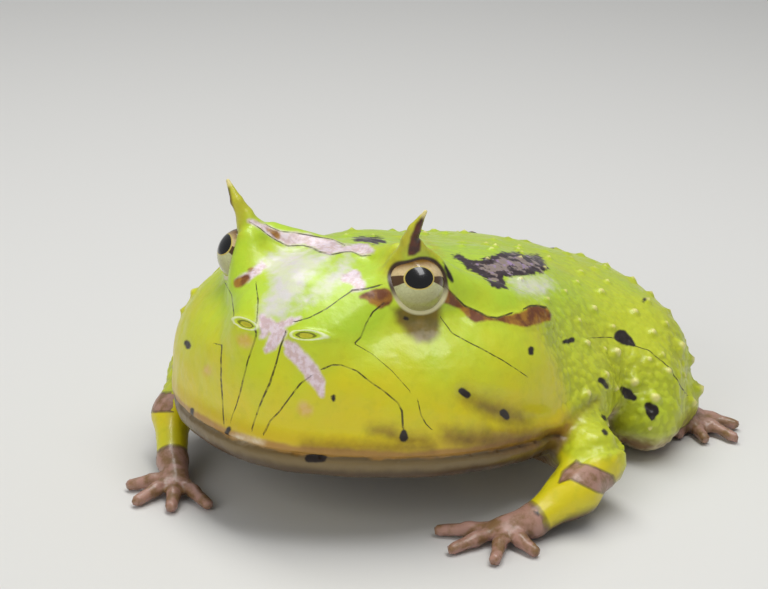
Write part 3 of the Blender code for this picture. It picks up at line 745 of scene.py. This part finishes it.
def side_of_run(places, run):
    """For each place, its gap to a thin stroke, and the same in half breadths, negative on the left."""
    run = np.array(run, float)
    gap = np.full(len(places), np.inf)
    side = np.full(len(places), np.inf)
    for start, end in zip(run, run[1:]):
        along = end[:2] - start[:2]
        offset = places - start[:2]
        share = np.clip(offset @ along / (along @ along), 0, 1)
        here = np.linalg.norm(offset - share[:, None] * along, axis=1)
        breadth = LINE_SHARE * (start[2] + share * (end[2] - start[2]))
        turn = np.sign(along[0] * offset[:, 1] - along[1] * offset[:, 0])
        side = np.where(here < gap, turn * here / breadth, side)
        gap = np.minimum(gap, here)
    return gap, side


class Tracing:
    """Lays marks of the photo on the skin. What it doesn't show gets the mirror image of what it does."""

    def __init__(self, points, tree):
        self.points = points
        self.shown = photo_shows(points, tree)
        self.pixels = pixels_of(points)
        flipped = points * (-1, 1, 1)
        self.flipped_pixels = pixels_of(flipped)
        self.flipped_shown = photo_shows(flipped, tree) & ~self.shown & (np.abs(points[:, 0]) > MIDDLE)

    def marks(self, runs=(), areas=(), mirror=True):
        """Signed distance in millimetres to the nearest of some marks."""
        best = np.full(len(self.shown), FAR)
        sides = [(self.shown, self.pixels)]
        if mirror:
            sides.append((self.flipped_shown, self.flipped_pixels))
        for shown, pixels in sides:
            places = pixels[shown]
            near = best[shown]
            for run in runs:
                near = np.minimum(near, run_distance(places, run) / PIXELS_PER_MM)
            for outline in areas:
                near = np.minimum(near, area_distance(places, outline) / PIXELS_PER_MM)
            best[shown] = near
        return best

    def off_run(self, run):
        """The distance through space to a stroke's middle line, in millimetres."""
        seen = np.flatnonzero(self.shown)
        nearest = [seen[np.linalg.norm(self.pixels[seen] - spot[:2], axis=1).argmin()] for spot in run]
        return flesh_distance(chain([(self.points[i], 0.0) for i in nearest]), self.points)

    def lines(self, runs):
        """The gap to the nearest thin line in millimetres, and how far to one side of it, in half breadths.

        The second changes sign on the line itself, so the line stays fine and whole between vertices.
        """
        gap = np.full(len(self.shown), FAR)
        side = np.full(len(self.shown), FAR)
        for shown, pixels in ((self.shown, self.pixels), (self.flipped_shown, self.flipped_pixels)):
            places = pixels[shown]
            for run in runs:
                here, turned = side_of_run(places, run)
                here = here / PIXELS_PER_MM
                side[shown] = np.where(here < gap[shown], turned, side[shown])
                gap[shown] = np.minimum(gap[shown], here)
        return gap, np.clip(side, -FAR, FAR)


def wart_places():
    """Where a wart may stand: (side, y, rise, size, spacing). The photo's come first, then scattered ones."""
    chance = random.Random(SEED)
    places = [(1, y, rise, size, WART_CROWDING) for y, rise, size in FLANK_WARTS]
    for y, rise, size in FLANK_WARTS:
        dy, turn = (chance.uniform(-most, most) for most in WART_SHIFT)
        places.append((-1, y + dy, rise + turn, size, WART_CROWDING))
    for number in range(WART_TRIES):
        rise = chance.uniform(*WART_RISES)
        size = chance.choice((1, 2)) if rise < WART_SHOULDER else 2
        places.append((1 if number % 2 else -1, chance.uniform(*WART_YS), rise, size, WART_SPACING))
    return places


def wart_sites(tree):
    """Where the warts meet the skin: (point, radius, height)."""
    sites = []
    for side, y, rise, size, spacing in wart_places():
        out = Vector((side * cos(radians(rise)), 0, sin(radians(rise))))
        point = tree.ray_cast(Vector((0, y, BODY_AXIS_Z)) + 90 * out, -out)[0]
        if point is None or point.z < 4:
            continue
        if all((point - other[0]).length > spacing for other in sites):
            sites.append((point, *WART_SIZES[size]))
    return sites


def needs_detail(place):
    """The head and the near flank, which the photo shows close."""
    x, y, z = place
    head = y < -14 and z > 12
    flank = x > 8 and y < 32 and z > 10
    return head or flank


def surface_noise(points, size, offset):
    """Smooth noise, from -1 to 1, whose lumps are about size millimetres across."""
    shift = Vector((offset, 0, 0))
    return np.array([noise.fractal(Vector(p) / size + shift, 1.0, 2.0, 2) for p in points])


def hollow(distance, depth, breadth):
    """A soft dent of some depth, where a signed distance is below its breadth."""
    return -depth * np.exp(-np.square(np.maximum(distance, 0) / breadth))


def lumps(points, size):
    """Rounded lumps side by side, about size millimetres across, from 0 to 1."""
    return np.array([1 - min(1.0, 1.6 * noise.voronoi(Vector(p) / size)[0][0]) ** 2 for p in points])


def arm_gap(points):
    """The distance to the nearest arm."""
    gaps = []
    for arm in (LEFT_ARM, RIGHT_ARM):
        masses = chain(arm["upper_arm"]) + chain(arm["forearm"]) + hand_masses(arm)
        gaps.append(flesh_distance(masses, points))
    return np.minimum(*gaps)


def warty_skin(points, arms):
    """1 where the skin is granular: behind the head, and on the arms as far down as their bands."""
    on_arm = np.clip(1.5 - arms, 0, 1) * np.clip((points[:, 2] - ARM_GRAIN_Z) / 2, 0, 1)
    return np.maximum(np.clip((points[:, 1] + 16) / 8, 0, 1), on_arm)


def mouth_front(points, arms):
    """1 along the mouth, and 0 behind its corners and on what isn't jaw."""
    out = plan_reach(points[:, 0], points[:, 1] - JAW_Y, JAW_POWER)
    ahead = np.clip((JAW_Y + 2.5 - points[:, 1]) / 3, 0, 1)
    return ahead * np.clip((out - JAW_RADIUS + 9) / 2, 0, 1) * np.clip((arms - 0.5) / 1.0, 0, 1)


def relief(points, normals, tracing, warts, front, arms):
    """How far the skin stands out from its smooth form, in millimetres. Also where warts and lumps are."""
    rise = np.zeros(len(points))
    for runs, areas, mirror, depth, breadth in CREASES:
        rise += hollow(tracing.marks(runs, areas, mirror), depth, breadth)
    mouth = np.abs(points[:, 2] - mouth_height(points[:, 1]))
    rise += hollow(mouth, *MOUTH_SLIT) * front
    bead = np.zeros(len(points))
    for centre, radius, height in warts:
        gap = np.linalg.norm(points - np.array(centre), axis=1) / radius
        cone = np.clip(1 - gap, 0, 1) ** 1.15
        rise += height * cone
        bead = np.maximum(bead, cone)
    steep = np.clip((0.9 - normals[:, 2]) / 0.4, 0.2, 1)
    lump = warty_skin(points, arms) * steep * (lumps(points, LUMP_SIZE) - 0.5)
    rise += LUMP_HEIGHT * lump
    for size, height, offset in UNEVENNESS:
        rise += height * surface_noise(points, size, offset)
    for side in (1, -1):
        rise += nostril_relief(points, side)
    return rise, bead, lump


def nostril_frame(points, side):
    """Places round a nostril, in its slit's own half lengths: 1 is the slit's edge."""
    flip = np.array([side, 1, 1])
    local = points - np.array(NOSTRIL) * flip
    along = np.array(NOSTRIL_ALONG) * flip
    along /= np.linalg.norm(along)
    across = np.cross(along, np.array(NOSTRIL_OUT) * flip)
    across /= np.linalg.norm(across)
    half_length, half_height = NOSTRIL_HALF
    flat = np.hypot(local @ along / half_length, local @ across / half_height)
    # The last term keeps the marks off the far side of the head.
    return np.hypot(flat, np.linalg.norm(local, axis=1) / 9)


def nostril_relief(points, side):
    """A raised rim round a shallow slit."""
    round_slit = nostril_frame(points, side)
    rim = np.exp(-np.square((round_slit - NOSTRIL_RIM) / 0.45))
    return 0.55 * rim - 0.5 * np.clip(1.1 - round_slit, 0, 1)


def store(mesh, name, values):
    """Keeps one value for each vertex, for a material to read."""
    layer = mesh.attributes.new(name, "FLOAT", "POINT")
    layer.data.foreach_set("value", np.asarray(values, np.float32))


def build_skin():
    """The whole skin: its smooth form, the relief on it, and the marks stored for its material."""
    skin = rough_skin()
    mesh = skin.data
    points = settle(coordinates(mesh), skin_distance, 2)
    set_coordinates(mesh, points)
    faces = [tuple(face.vertices) for face in mesh.polygons]
    tree = BVHTree.FromPolygons([Vector(p) for p in points], faces)
    normals = slope_of(skin_distance, points)
    normals /= np.linalg.norm(normals, axis=1, keepdims=True) + 1e-9
    tracing = Tracing(points, tree)
    warts = wart_sites(tree) + CHEEK_WARTS
    arms = arm_gap(points)
    front = mouth_front(points, arms)
    rise, bead, lump = relief(points, normals, tracing, warts, front, arms)
    moved = points + normals * rise[:, None]
    moved[:, 2] = np.maximum(moved[:, 2], 0)
    set_coordinates(mesh, moved)
    paint(mesh, points, normals, tracing, arms)
    store(mesh, "bead", bead)
    store(mesh, "lump", lump)
    store(mesh, "lips", front)
    for face in mesh.polygons:
        face.use_smooth = True
    mesh.transform(Matrix.Translation(home()) @ Matrix.Scale(MM, 4))
    return skin


def paint(mesh, points, normals, tracing, arms):
    """Stores how far each vertex is from the marks of each kind, in millimetres, for the material."""
    hidden_back = (points[:, 2] > BACK_Z) & ~tracing.shown
    behind = np.min([run_distance(points[:, :2], run) for run in BACK_RUNS], axis=0)
    behind = np.where(hidden_back, behind, FAR)
    band = tracing.marks(MAUVE_RUNS[:1], mirror=False)
    band = np.maximum(band, tracing.off_run(MAUVE_RUNS[0]) - BAND_REACH)
    store(mesh, "mauve", np.minimum(band, tracing.marks(MAUVE_RUNS[1:], mirror=False)))
    store(mesh, "pink", tracing.marks(PINK_RUNS))
    store(mesh, "pale", tracing.marks(areas=PALE_SKIN_AND_SHEEN_AREAS, mirror=False))
    store(mesh, "gold", tracing.marks(GOLD_RUNS))
    store(mesh, "brown", tracing.marks(BROWN_RUNS, BROWN_AREAS))
    store(mesh, "blotch", np.minimum(tracing.marks(areas=BLOTCH_AREAS), behind))
    line_gap, line_side = tracing.lines(LINE_RUNS + BAND_EDGES)
    store(mesh, "line_gap", line_gap)
    store(mesh, "line_side", line_side)
    store(mesh, "spot", tracing.marks(SPOT_RUNS))
    bands = np.maximum(tracing.marks(areas=ARM_BAND_AREAS, mirror=False), arms - ARM_BAND_REACH)
    for centre, radius in LIMB_BANDS:
        for side in (1, -1):
            gap = np.linalg.norm(points - np.array(centre) * (side, 1, 1), axis=1) - radius
            bands = np.where(tracing.shown, bands, np.minimum(bands, gap))
    for arm in (LEFT_ARM, RIGHT_ARM):
        bands = np.minimum(bands, flesh_distance(hand_masses(arm), points) - HAND_BROWN_REACH)
    for side in (1, -1):
        foot = flesh_distance(foot_masses(), points * (side, 1, 1))
        bands = np.minimum(bands, foot - HAND_BROWN_REACH)
    store(mesh, "band", bands)
    store(mesh, "pouch_and_shadow", tracing.marks(areas=[EYE_POUCH_AND_SHADOW]))
    store(mesh, "shade", tracing.marks([CORNER_FOLD] + SHADE_RUNS))
    store(mesh, "lip_highlight", tracing.marks(LIP_HIGHLIGHT_RUNS))
    store(mesh, "horn", tracing.marks([FAR_HORN_EDGE], HORN_FACE))
    eyes = [np.linalg.norm(points - np.array(EYE) * (side, 1, 1), axis=1) for side in (1, -1)]
    store(mesh, "socket", np.minimum(*eyes) - EYE_RADIUS)
    store(mesh, "mouth", points[:, 2] - mouth_height(points[:, 1]))
    tips = [np.linalg.norm(points - np.array(HORN[-1][0]) * (side, 1, 1), axis=1) for side in (1, -1)]
    store(mesh, "horn_tip", np.minimum(*tips))
    under = np.clip(-normals[:, 2] * 2.2 - 0.4, 0, 1) * np.clip((15 - points[:, 2]) / 5, 0, 1)
    store(mesh, "under", under)
    store(mesh, "throat", np.clip((-14 - points[:, 1]) / 8 + 0.5, 0, 1))
    store(mesh, "warty", warty_skin(points, arms))
    nostrils = [nostril_frame(points, side) for side in (1, -1)]
    store(mesh, "nostril", np.minimum(*nostrils))


def hex_colour(code):
    """An sRGB hex value as the linear colour that a shader takes."""
    values = [int(code[i:i + 2], 16) / 255 for i in (1, 3, 5)]
    return (*[v / 12.92 if v <= 0.04045 else ((v + 0.055) / 1.055) ** 2.4 for v in values], 1)


def add(tree, kind, *inputs, **settings):
    """Adds a node to a material. Its inputs in order are values, sockets, or nodes for their first output.

    A setting is one of the node's own properties, or the name of a socket.
    """
    node = tree.nodes.new("ShaderNode" + kind)
    for name, value in settings.items():
        if name not in node.inputs:
            setattr(node, name, value)
    named = [(node.inputs[name], value) for name, value in settings.items() if name in node.inputs]
    for socket, value in list(zip([socket for socket in node.inputs if socket.enabled], inputs)) + named:
        if isinstance(value, bpy.types.Node):
            value = next(output for output in value.outputs if output.enabled)
        if isinstance(value, bpy.types.NodeSocket):
            tree.links.new(value, socket)
        else:
            socket.default_value = value
    return node


# What the skin's mesh holds at each vertex for its material. Most are distances from marks, in mm.
SKIN_VALUES = (
    "warty", "lump", "horn_tip", "mouth", "lips", "under", "throat", "pale", "mauve", "pink", "gold", "brown",
    "band", "lip_highlight", "shade", "pouch_and_shadow", "horn", "socket", "blotch", "line_gap", "line_side", "spot", "bead",
    "nostril",
)
# Settings that many nodes share.
SMOOTH = {"interpolation_type": "SMOOTHSTEP"}
COLOURS = {"data_type": "RGBA"}
TIMES = {"operation": "MULTIPLY"}
PLUS = {"operation": "ADD"}
SIZE_OF = {"operation": "ABSOLUTE"}


def new_material(name):
    material = bpy.data.materials.new(name)
    material.use_nodes = True
    return material, material.node_tree, material.node_tree.nodes["Principled BSDF"]


def studio():
    """A pale flat floor, soft lights, and the photo's camera."""
    material, _, shader = new_material("pale_studio_paper")
    shader.inputs["Base Color"].default_value = hex_colour("#D9D8D4")
    shader.inputs["Roughness"].default_value = 0.8
    sheet = bmesh.new()
    bmesh.ops.create_grid(sheet, x_segments=1, y_segments=1, size=3.0)
    mesh = bpy.data.meshes.new("floor")
    sheet.to_mesh(mesh)
    sheet.free()
    mesh.materials.append(material)
    floor = bpy.data.objects.new("floor", mesh)
    bpy.context.scene.collection.objects.link(floor)

    world = bpy.data.worlds.new("studio")
    bpy.context.scene.world = world
    world.use_nodes = True
    world.node_tree.nodes["Background"].inputs["Color"].default_value = hex_colour("#E4E6EA")
    world.node_tree.nodes["Background"].inputs["Strength"].default_value = 0.36
    for name, place, size, power in (
        ("overhead strip", (0.02, 0.04, 0.55), (0.80, 0.20), 2.95),
        ("front fill", (-0.10, -0.80, 0.35), (0.60, 0.60), 2.6),
    ):
        light = bpy.data.lights.new(name, "AREA")
        light.shape = "RECTANGLE"
        light.size, light.size_y = size
        light.energy = power
        lamp = bpy.data.objects.new(name, light)
        lamp.location = place
        lamp.rotation_euler = (-Vector(place)).to_track_quat("-Z", "Y").to_euler()
        # Only the strip is mirrored in the wet skin and eyes, as the one lamp over the frog in the photo is.
        lamp.visible_glossy = name == "overhead strip"
        bpy.context.scene.collection.objects.link(lamp)

    right, up, ahead = camera_axes()
    camera = bpy.data.objects.new("camera", bpy.data.cameras.new("camera"))
    camera.data.sensor_width = SENSOR
    camera.data.lens = SENSOR * CAMERA_DISTANCE * PIXELS_PER_MM / PHOTO[0]
    camera.data.clip_start = 0.01
    turn = Matrix((right, up, -ahead)).transposed().to_4x4()
    camera.matrix_world = Matrix.Translation(home() + camera_place() * MM) @ turn
    bpy.context.scene.collection.objects.link(camera)
    bpy.context.scene.camera = camera


def skin_material():
    """Frog skin: moist, thin and slightly clear, so it is smooth and glossy over fine grains."""
    material, tree, shader = new_material("moist_frog_skin")
    node = partial(add, tree)
    # Places in millimetres, so that a pattern's scale is 1 over its real size.
    place = node("VectorMath", node("TexCoord").outputs["Object"], 1 / MM, operation="SCALE")
    height = node("SeparateXYZ", place).outputs["Z"]
    eye_level = home().z / MM + EYE[2]
    stored = {name: node("Attribute", attribute_name=name).outputs["Fac"] for name in SKIN_VALUES}

    def wander(size, reach):
        """A smooth drift of up to half of reach to either side, over patches of a size."""
        drift = node("Math", node("TexNoise", place, 1 / size, 3.0, 0.55), -0.5, **PLUS)
        return node("Math", drift, reach, **TIMES)

    def within(name, ragged, soft):
        """1 inside the marks of one kind, with an edge that wanders by ragged mm and fades over soft mm."""
        edge = node("Math", stored[name], wander(1.6, 2 * ragged), **PLUS)
        return node("MapRange", edge, soft, -soft, **SMOOTH)

    def around(source, middle, far, near, share):
        """A share on a level line of a value, which fades to nothing from near to far off it."""
        away = node("Math", node("Math", source, -middle, **PLUS), 0.0, **SIZE_OF)
        return node("MapRange", away, far, near, 0.0, share, **SMOOTH)

    def patches(size, low, high, share=1.0, rough=0.55):
        """Soft patches of a size, where a noise rises from low to high."""
        cloud = node("TexNoise", place, 1 / size, 3.0, rough)
        return node("MapRange", cloud, low, high, 0.0, share, **SMOOTH)

    def tinted(code, by, share, size):
        """One colour with soft patches of another."""
        mottle = patches(size, 0.38, 0.64, share)
        return node("Mix", mottle, hex_colour(code), hex_colour(by), **COLOURS)

    # The ground colour goes from lime on the back to yellow on the face.
    lime = node("Math", node("MapRange", height, *GREEN_RISE, **SMOOTH), wander(14, 1.3), **PLUS)
    ground = node("Mix", lime, hex_colour("#D8C812"), hex_colour("#B4D22E"), **COLOURS)

    # What lies over it, from the lowest to the top: (share, colour).
    coats = [
        (patches(2.2, 0.5, 0.75, 0.2), "#A8AE18"),
        (node("MapRange", stored["warty"], 0.2, 1.0, 0.0, 0.55, **SMOOTH), "#AACA34"),
        # Painted shade in the valleys between the granular lumps.
        (node("MapRange", stored["lump"], 0.05, -0.4, 0.0, 0.3, **SMOOTH), "#84881C"),
        (node("MapRange", stored["horn_tip"], 11.0, 5.0, 0.0, 0.6, **SMOOTH), "#C6AE34"),
    ]

    # Lips, from the gold above the mouth to the dark below it: heights over the slit in mm. The lower lip and
    # the band under it are the skin's dull brown, darkened further by painted shade under the jaw.
    mouth = node("Math", stored["mouth"], wander(5, 1.6), **PLUS)
    for high, low, colour, share in (
        (5.0, 2.4, "#C9A81E", 0.6), (2.3, 1.4, "#A2703E", 0.8), (0.3, -0.2, "#70603E", 0.94),
        (-1.3, -2.8, "#4C3A20", 1.0),
    ):
        lip = node("MapRange", mouth, high, low, 0.0, share, **SMOOTH)
        coats.append((node("Math", lip, stored["lips"], **TIMES), colour))
    throat = tinted("#3A281C", "#6B4E30", 1.0, 4)
    belly = tinted("#DDD0A6", "#8A6B48", 1.0, 5)
    coats.append((stored["under"], node("Mix", stored["throat"], belly, throat, **COLOURS)))

    # Each kind of mark: its colours, how ragged and soft its edge is in mm, and its strength.
    for name, colour, ragged, soft, strength in (
        # The pale lilac skin, with a painted sheen highlight on the forehead and on the back.
        ("pale", tinted("#D8D0D4", "#D2DAA6", 0.6, 3), 1.6, 1.5, 0.9),
        ("mauve", tinted("#E6D2E0", "#C4A0A2", 0.7, 1.1), 0.45, 0.4, 0.92),
        ("pink", tinted("#DDB080", "#D2A44C", 1.0, 2), 0.5, 0.8, 0.7),
        ("gold", tinted("#C4B61E", "#9C881A", 0.7, 2), 0.9, 1.4, 0.7),
        ("brown", tinted("#A5741F", "#6E3A14", 1.0, 3), 0.3, 0.3, 1.0),
        ("band", tinted("#A98078", "#7E5C44", 1.0, 2.4), 0.35, 0.25, 0.95),
        # A painted highlight along the lip under the far eye.
        ("lip_highlight", tinted("#EADFC6", "#DCC69A", 0.8, 1.5), 0.6, 0.9, 0.8),
        ("shade", tinted("#7A5410", "#5C3C10", 0.8, 3), 0.9, 2.2, 0.85),
        # The pouch under each eye: its olive-brown skin, darkened further by painted shadow from the eye.
        ("pouch_and_shadow", tinted("#6E4E12", "#4E360C", 0.7, 3), 0.4, 0.9, 0.9),
        ("horn", tinted("#5A260C", "#34160A", 0.8, 2), 0.15, 0.3, 1.0),
    ):
        coats.append((node("Math", within(name, ragged, soft), strength, **TIMES), colour))
    coats.append((around(stored["band"], 0.0, 0.35, 0.1, 0.5), "#3E2614"))

    # A lid's rim is dark above the eye and pale below it, and a horn ends in a pale tip.
    above_eye = node("MapRange", height, eye_level - 2, eye_level + 1, **SMOOTH)
    rim = node("Mix", above_eye, hex_colour("#D6CFA0"), hex_colour("#3E2A14"), **COLOURS)
    coats.append((node("MapRange", stored["socket"], 0.8, 0.35, **SMOOTH), rim))
    coats.append((node("MapRange", stored["horn_tip"], 1.6, 0.6, 0.0, 0.8, **SMOOTH), "#E8D89A"))

    # The back's blotches are beige grey with lilac and dark brown spots, and blackest near their rims.
    rimmed = node("MapRange", stored["blotch"], -1.9, -0.1, 0.0, 0.16, **SMOOTH)
    deep = node("Math", node("TexNoise", place, 1 / 2.4, 4.0, 0.6), rimmed, **PLUS)
    deep = node("MapRange", deep, 0.52, 0.59, **SMOOTH)
    lilac = patches(1.7, 0.54, 0.64, rough=0.6)
    inside = node("Mix", lilac, hex_colour("#8E7E76"), hex_colour("#9E84AA"), **COLOURS)
    inside = node("Mix", deep, inside, hex_colour("#2E1C22"), **COLOURS)
    coats.append((within("blotch", 0.9, 0.25), inside))

    # Thin lines, fainter in places.
    near_line = node("MapRange", stored["line_gap"], 0.6, 0.35, **SMOOTH)
    lines = node("Math", around(stored["line_side"], 0.0, 1.3, 0.6, 1.0), near_line, **TIMES)
    faint = node("TexNoise", place, 1 / 1.6, 3.0, 0.55)
    faint = node("MapRange", faint, 0.38, 0.56, 0.45, 1.0, **SMOOTH)
    lines = node("Math", lines, faint, **TIMES)
    coats += [
        (node("Math", lines, 0.9, **TIMES), "#352808"),
        (within("spot", 0.25, 0.2), "#1C1008"),
        (node("MapRange", stored["bead"], 0.3, 0.75, 0.0, 0.8, **SMOOTH), "#EAE290"),
        (node("MapRange", stored["nostril"], 1.0, 0.7, 0.0, 0.7, **SMOOTH), "#D6C634"),
        (around(stored["nostril"], 1.0, 0.22, 0.06, 0.75), "#4A3E10"),
        # A painted highlight along each nostril's raised rim.
        (around(stored["nostril"], NOSTRIL_RIM, 0.34, 0.05, 0.65), "#EEF0D4"),
    ]
    for share, colour in coats:
        over = hex_colour(colour) if isinstance(colour, str) else colour
        ground = node("Mix", share, ground, over, **COLOURS)
    tree.links.new(ground.outputs[2], shader.inputs["Base Color"])

    # Grains of half a millimetre all over, and coarser ones on the warty skin behind the mouth.
    fine = node("Math", node("TexNoise", place, 1 / 0.45, 2.0, 0.5), 0.35, **TIMES)
    cells = node("TexVoronoi", place, 1 / 1.2, feature="SMOOTH_F1")
    depth = node("MapRange", stored["warty"], 0.0, 1.0, -0.4, -1.6, **SMOOTH)
    grains = node("Math", fine, node("Math", cells, depth, **TIMES), **PLUS)
    grains = node("Math", grains, node("Math", lines, -0.8, **TIMES), **PLUS)
    bump = node("Bump", Height=grains, Strength=0.7, Distance=0.16 * MM)
    tree.links.new(bump.outputs["Normal"], shader.inputs["Normal"])
    film = node("TexNoise", place, 1 / 3.0, 3.0, 0.55)
    roughness = node("MapRange", film, 0.3, 0.7, 0.34, 0.52, **SMOOTH)
    tree.links.new(roughness.outputs["Result"], shader.inputs["Roughness"])
    shader.inputs["Subsurface Weight"].default_value = 0.12
    shader.inputs["Subsurface Radius"].default_value = (1.0, 0.7, 0.3)
    shader.inputs["Subsurface Scale"].default_value = 1.2 * MM
    shader.inputs["Coat Weight"].default_value = 0.25
    shader.inputs["Coat Roughness"].default_value = 0.14
    return material


def eye_turn(side):
    """The eye's own axes: its slit across, up, and out through the pupil."""
    out = Vector((EYE_AXIS[0] * side, EYE_AXIS[1], EYE_AXIS[2])).normalized()
    across = Vector((0, 0, 1)).cross(out).normalized()
    up = out.cross(across)
    return Matrix((across, up, out)).transposed()


def build_eye(side):
    """A ball that stands out a little at the clear front, and a pupil that lies across."""
    word = "left" if side == 1 else "right"
    centre = home() + Vector((EYE[0] * side, EYE[1], EYE[2])) * MM
    place = Matrix.Translation(centre) @ eye_turn(side).to_4x4()
    made = bmesh.new()
    bmesh.ops.create_uvsphere(made, u_segments=72, v_segments=48, radius=EYE_RADIUS * MM)
    for vert in made.verts:
        front = max(0.0, vert.co.z / (EYE_RADIUS * MM) - CORNEA_START) / (1 - CORNEA_START)
        vert.co.z += CORNEA_BULGE * MM * front * front * (3 - 2 * front)
    bmesh.ops.transform(made, matrix=place, verts=made.verts)
    mesh = bpy.data.meshes.new(f"wet_eye_{word}")
    made.to_mesh(mesh)
    made.free()
    for face in mesh.polygons:
        face.use_smooth = True
    mesh.materials.append(eye_material(f"wet_frog_eye_{word}", place, side))
    eye = bpy.data.objects.new(f"wet_eye_{word}", mesh)
    bpy.context.scene.collection.objects.link(eye)
    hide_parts(f"eye_{word}")
    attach(eye, "root")


def eye_material(name, place, side):
    """A frog's eye: a pale flecked iris with a dark bar through it, under a clear wet skin."""
    material, tree, shader = new_material(name)
    node = partial(add, tree)
    # Places in millimetres along the eye's own axes.
    local = node("Mapping", node("TexCoord").outputs["Object"], place.to_translation(), place.to_euler(),
                 (MM, MM, MM), vector_type="TEXTURE")
    parts = node("SeparateXYZ", local).outputs
    across, up, out = parts["X"], parts["Y"], parts["Z"]

    def oval(wide, tall):
        """1 at the edge of an oval round the pupil's middle."""
        middle = (side * PUPIL_SHIFT[0], PUPIL_SHIFT[1], 0)
        flat = node("VectorMath", node("VectorMath", local, middle, operation="SUBTRACT"),
                    (1 / wide, 1 / tall, 0), operation="MULTIPLY")
        return node("VectorMath", flat, operation="LENGTH").outputs["Value"]

    flecks = node("TexNoise", local, 1.1, 6.0, 0.7)
    veins = node("TexVoronoi", local, 1.3, feature="DISTANCE_TO_EDGE")
    wander = node("Math", node("Math", flecks, -0.5, **PLUS), 0.9, **TIMES)
    ragged_up = node("Math", up, wander, **PLUS)
    iris = None
    # From the pale lower rim, up through the bar, to the brown upper rim.
    for source, low, high, share, below, above in (
        (ragged_up, -3.6, -1.0, 1.0, "#A9A66C", "#C6C692"),
        (ragged_up, -0.5, 0.3, 1.0, None, "#D9C08C"),
        (ragged_up, 1.6, 3.4, 1.0, None, "#8A6028"),
        (veins, 0.25, 0.0, 0.10, None, "#5C5A2C"),
        (flecks, 0.5, 0.72, 0.35, None, "#7C6A30"),
    ):
        mask = node("MapRange", source, low, high, 0.0, share, **SMOOTH)
        iris = node("Mix", mask, iris if below is None else hex_colour(below), hex_colour(above), **COLOURS)
    tilted = node("Math", up, node("Math", across, side * 0.10, **TIMES), **PLUS)
    tilted = node("Math", tilted, node("Math", wander, 0.3, **TIMES), **PLUS)
    thick = node("MapRange", node("Math", across, 0.0, **SIZE_OF), 1.5, 4.6, 0.45, 0.95, **SMOOTH)
    bar = node("Math", node("Math", tilted, 0.0, **SIZE_OF), thick, operation="DIVIDE")
    pupil = oval(*PUPIL)
    # The dark bar, the pupil's pale rim, the pupil, and the shade at the edge of the ball.
    for source, low, high, share, colour in (
        (bar, 1.12, 0.88, 1.0, "#4E3312"), (pupil, 1.13, 1.07, 1.0, "#C9B45C"),
        (pupil, 1.03, 0.99, 1.0, "#050404"), (out, 1.9, 1.2, 0.9, "#3E3416"),
    ):
        mask = node("MapRange", source, low, high, 0.0, share, **SMOOTH)
        iris = node("Mix", mask, iris, hex_colour(colour), **COLOURS)
    tree.links.new(iris.outputs[2], shader.inputs["Base Color"])
    shader.inputs["Roughness"].default_value = 0.25
    shader.inputs["Coat Weight"].default_value = 1.0
    shader.inputs["Coat Roughness"].default_value = 0.03
    shader.inputs["Coat IOR"].default_value = 1.38
    return material


def main():
    bpy.context.scene.view_settings.view_transform = "Standard"
    studio()
    skin = build_skin()
    skin.data.materials.clear()
    skin.data.materials.append(skin_material())
    flesh = [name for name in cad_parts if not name.startswith("eye")]
    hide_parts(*flesh)
    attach(skin, "root")
    for side in (1, -1):
        build_eye(side)


main()
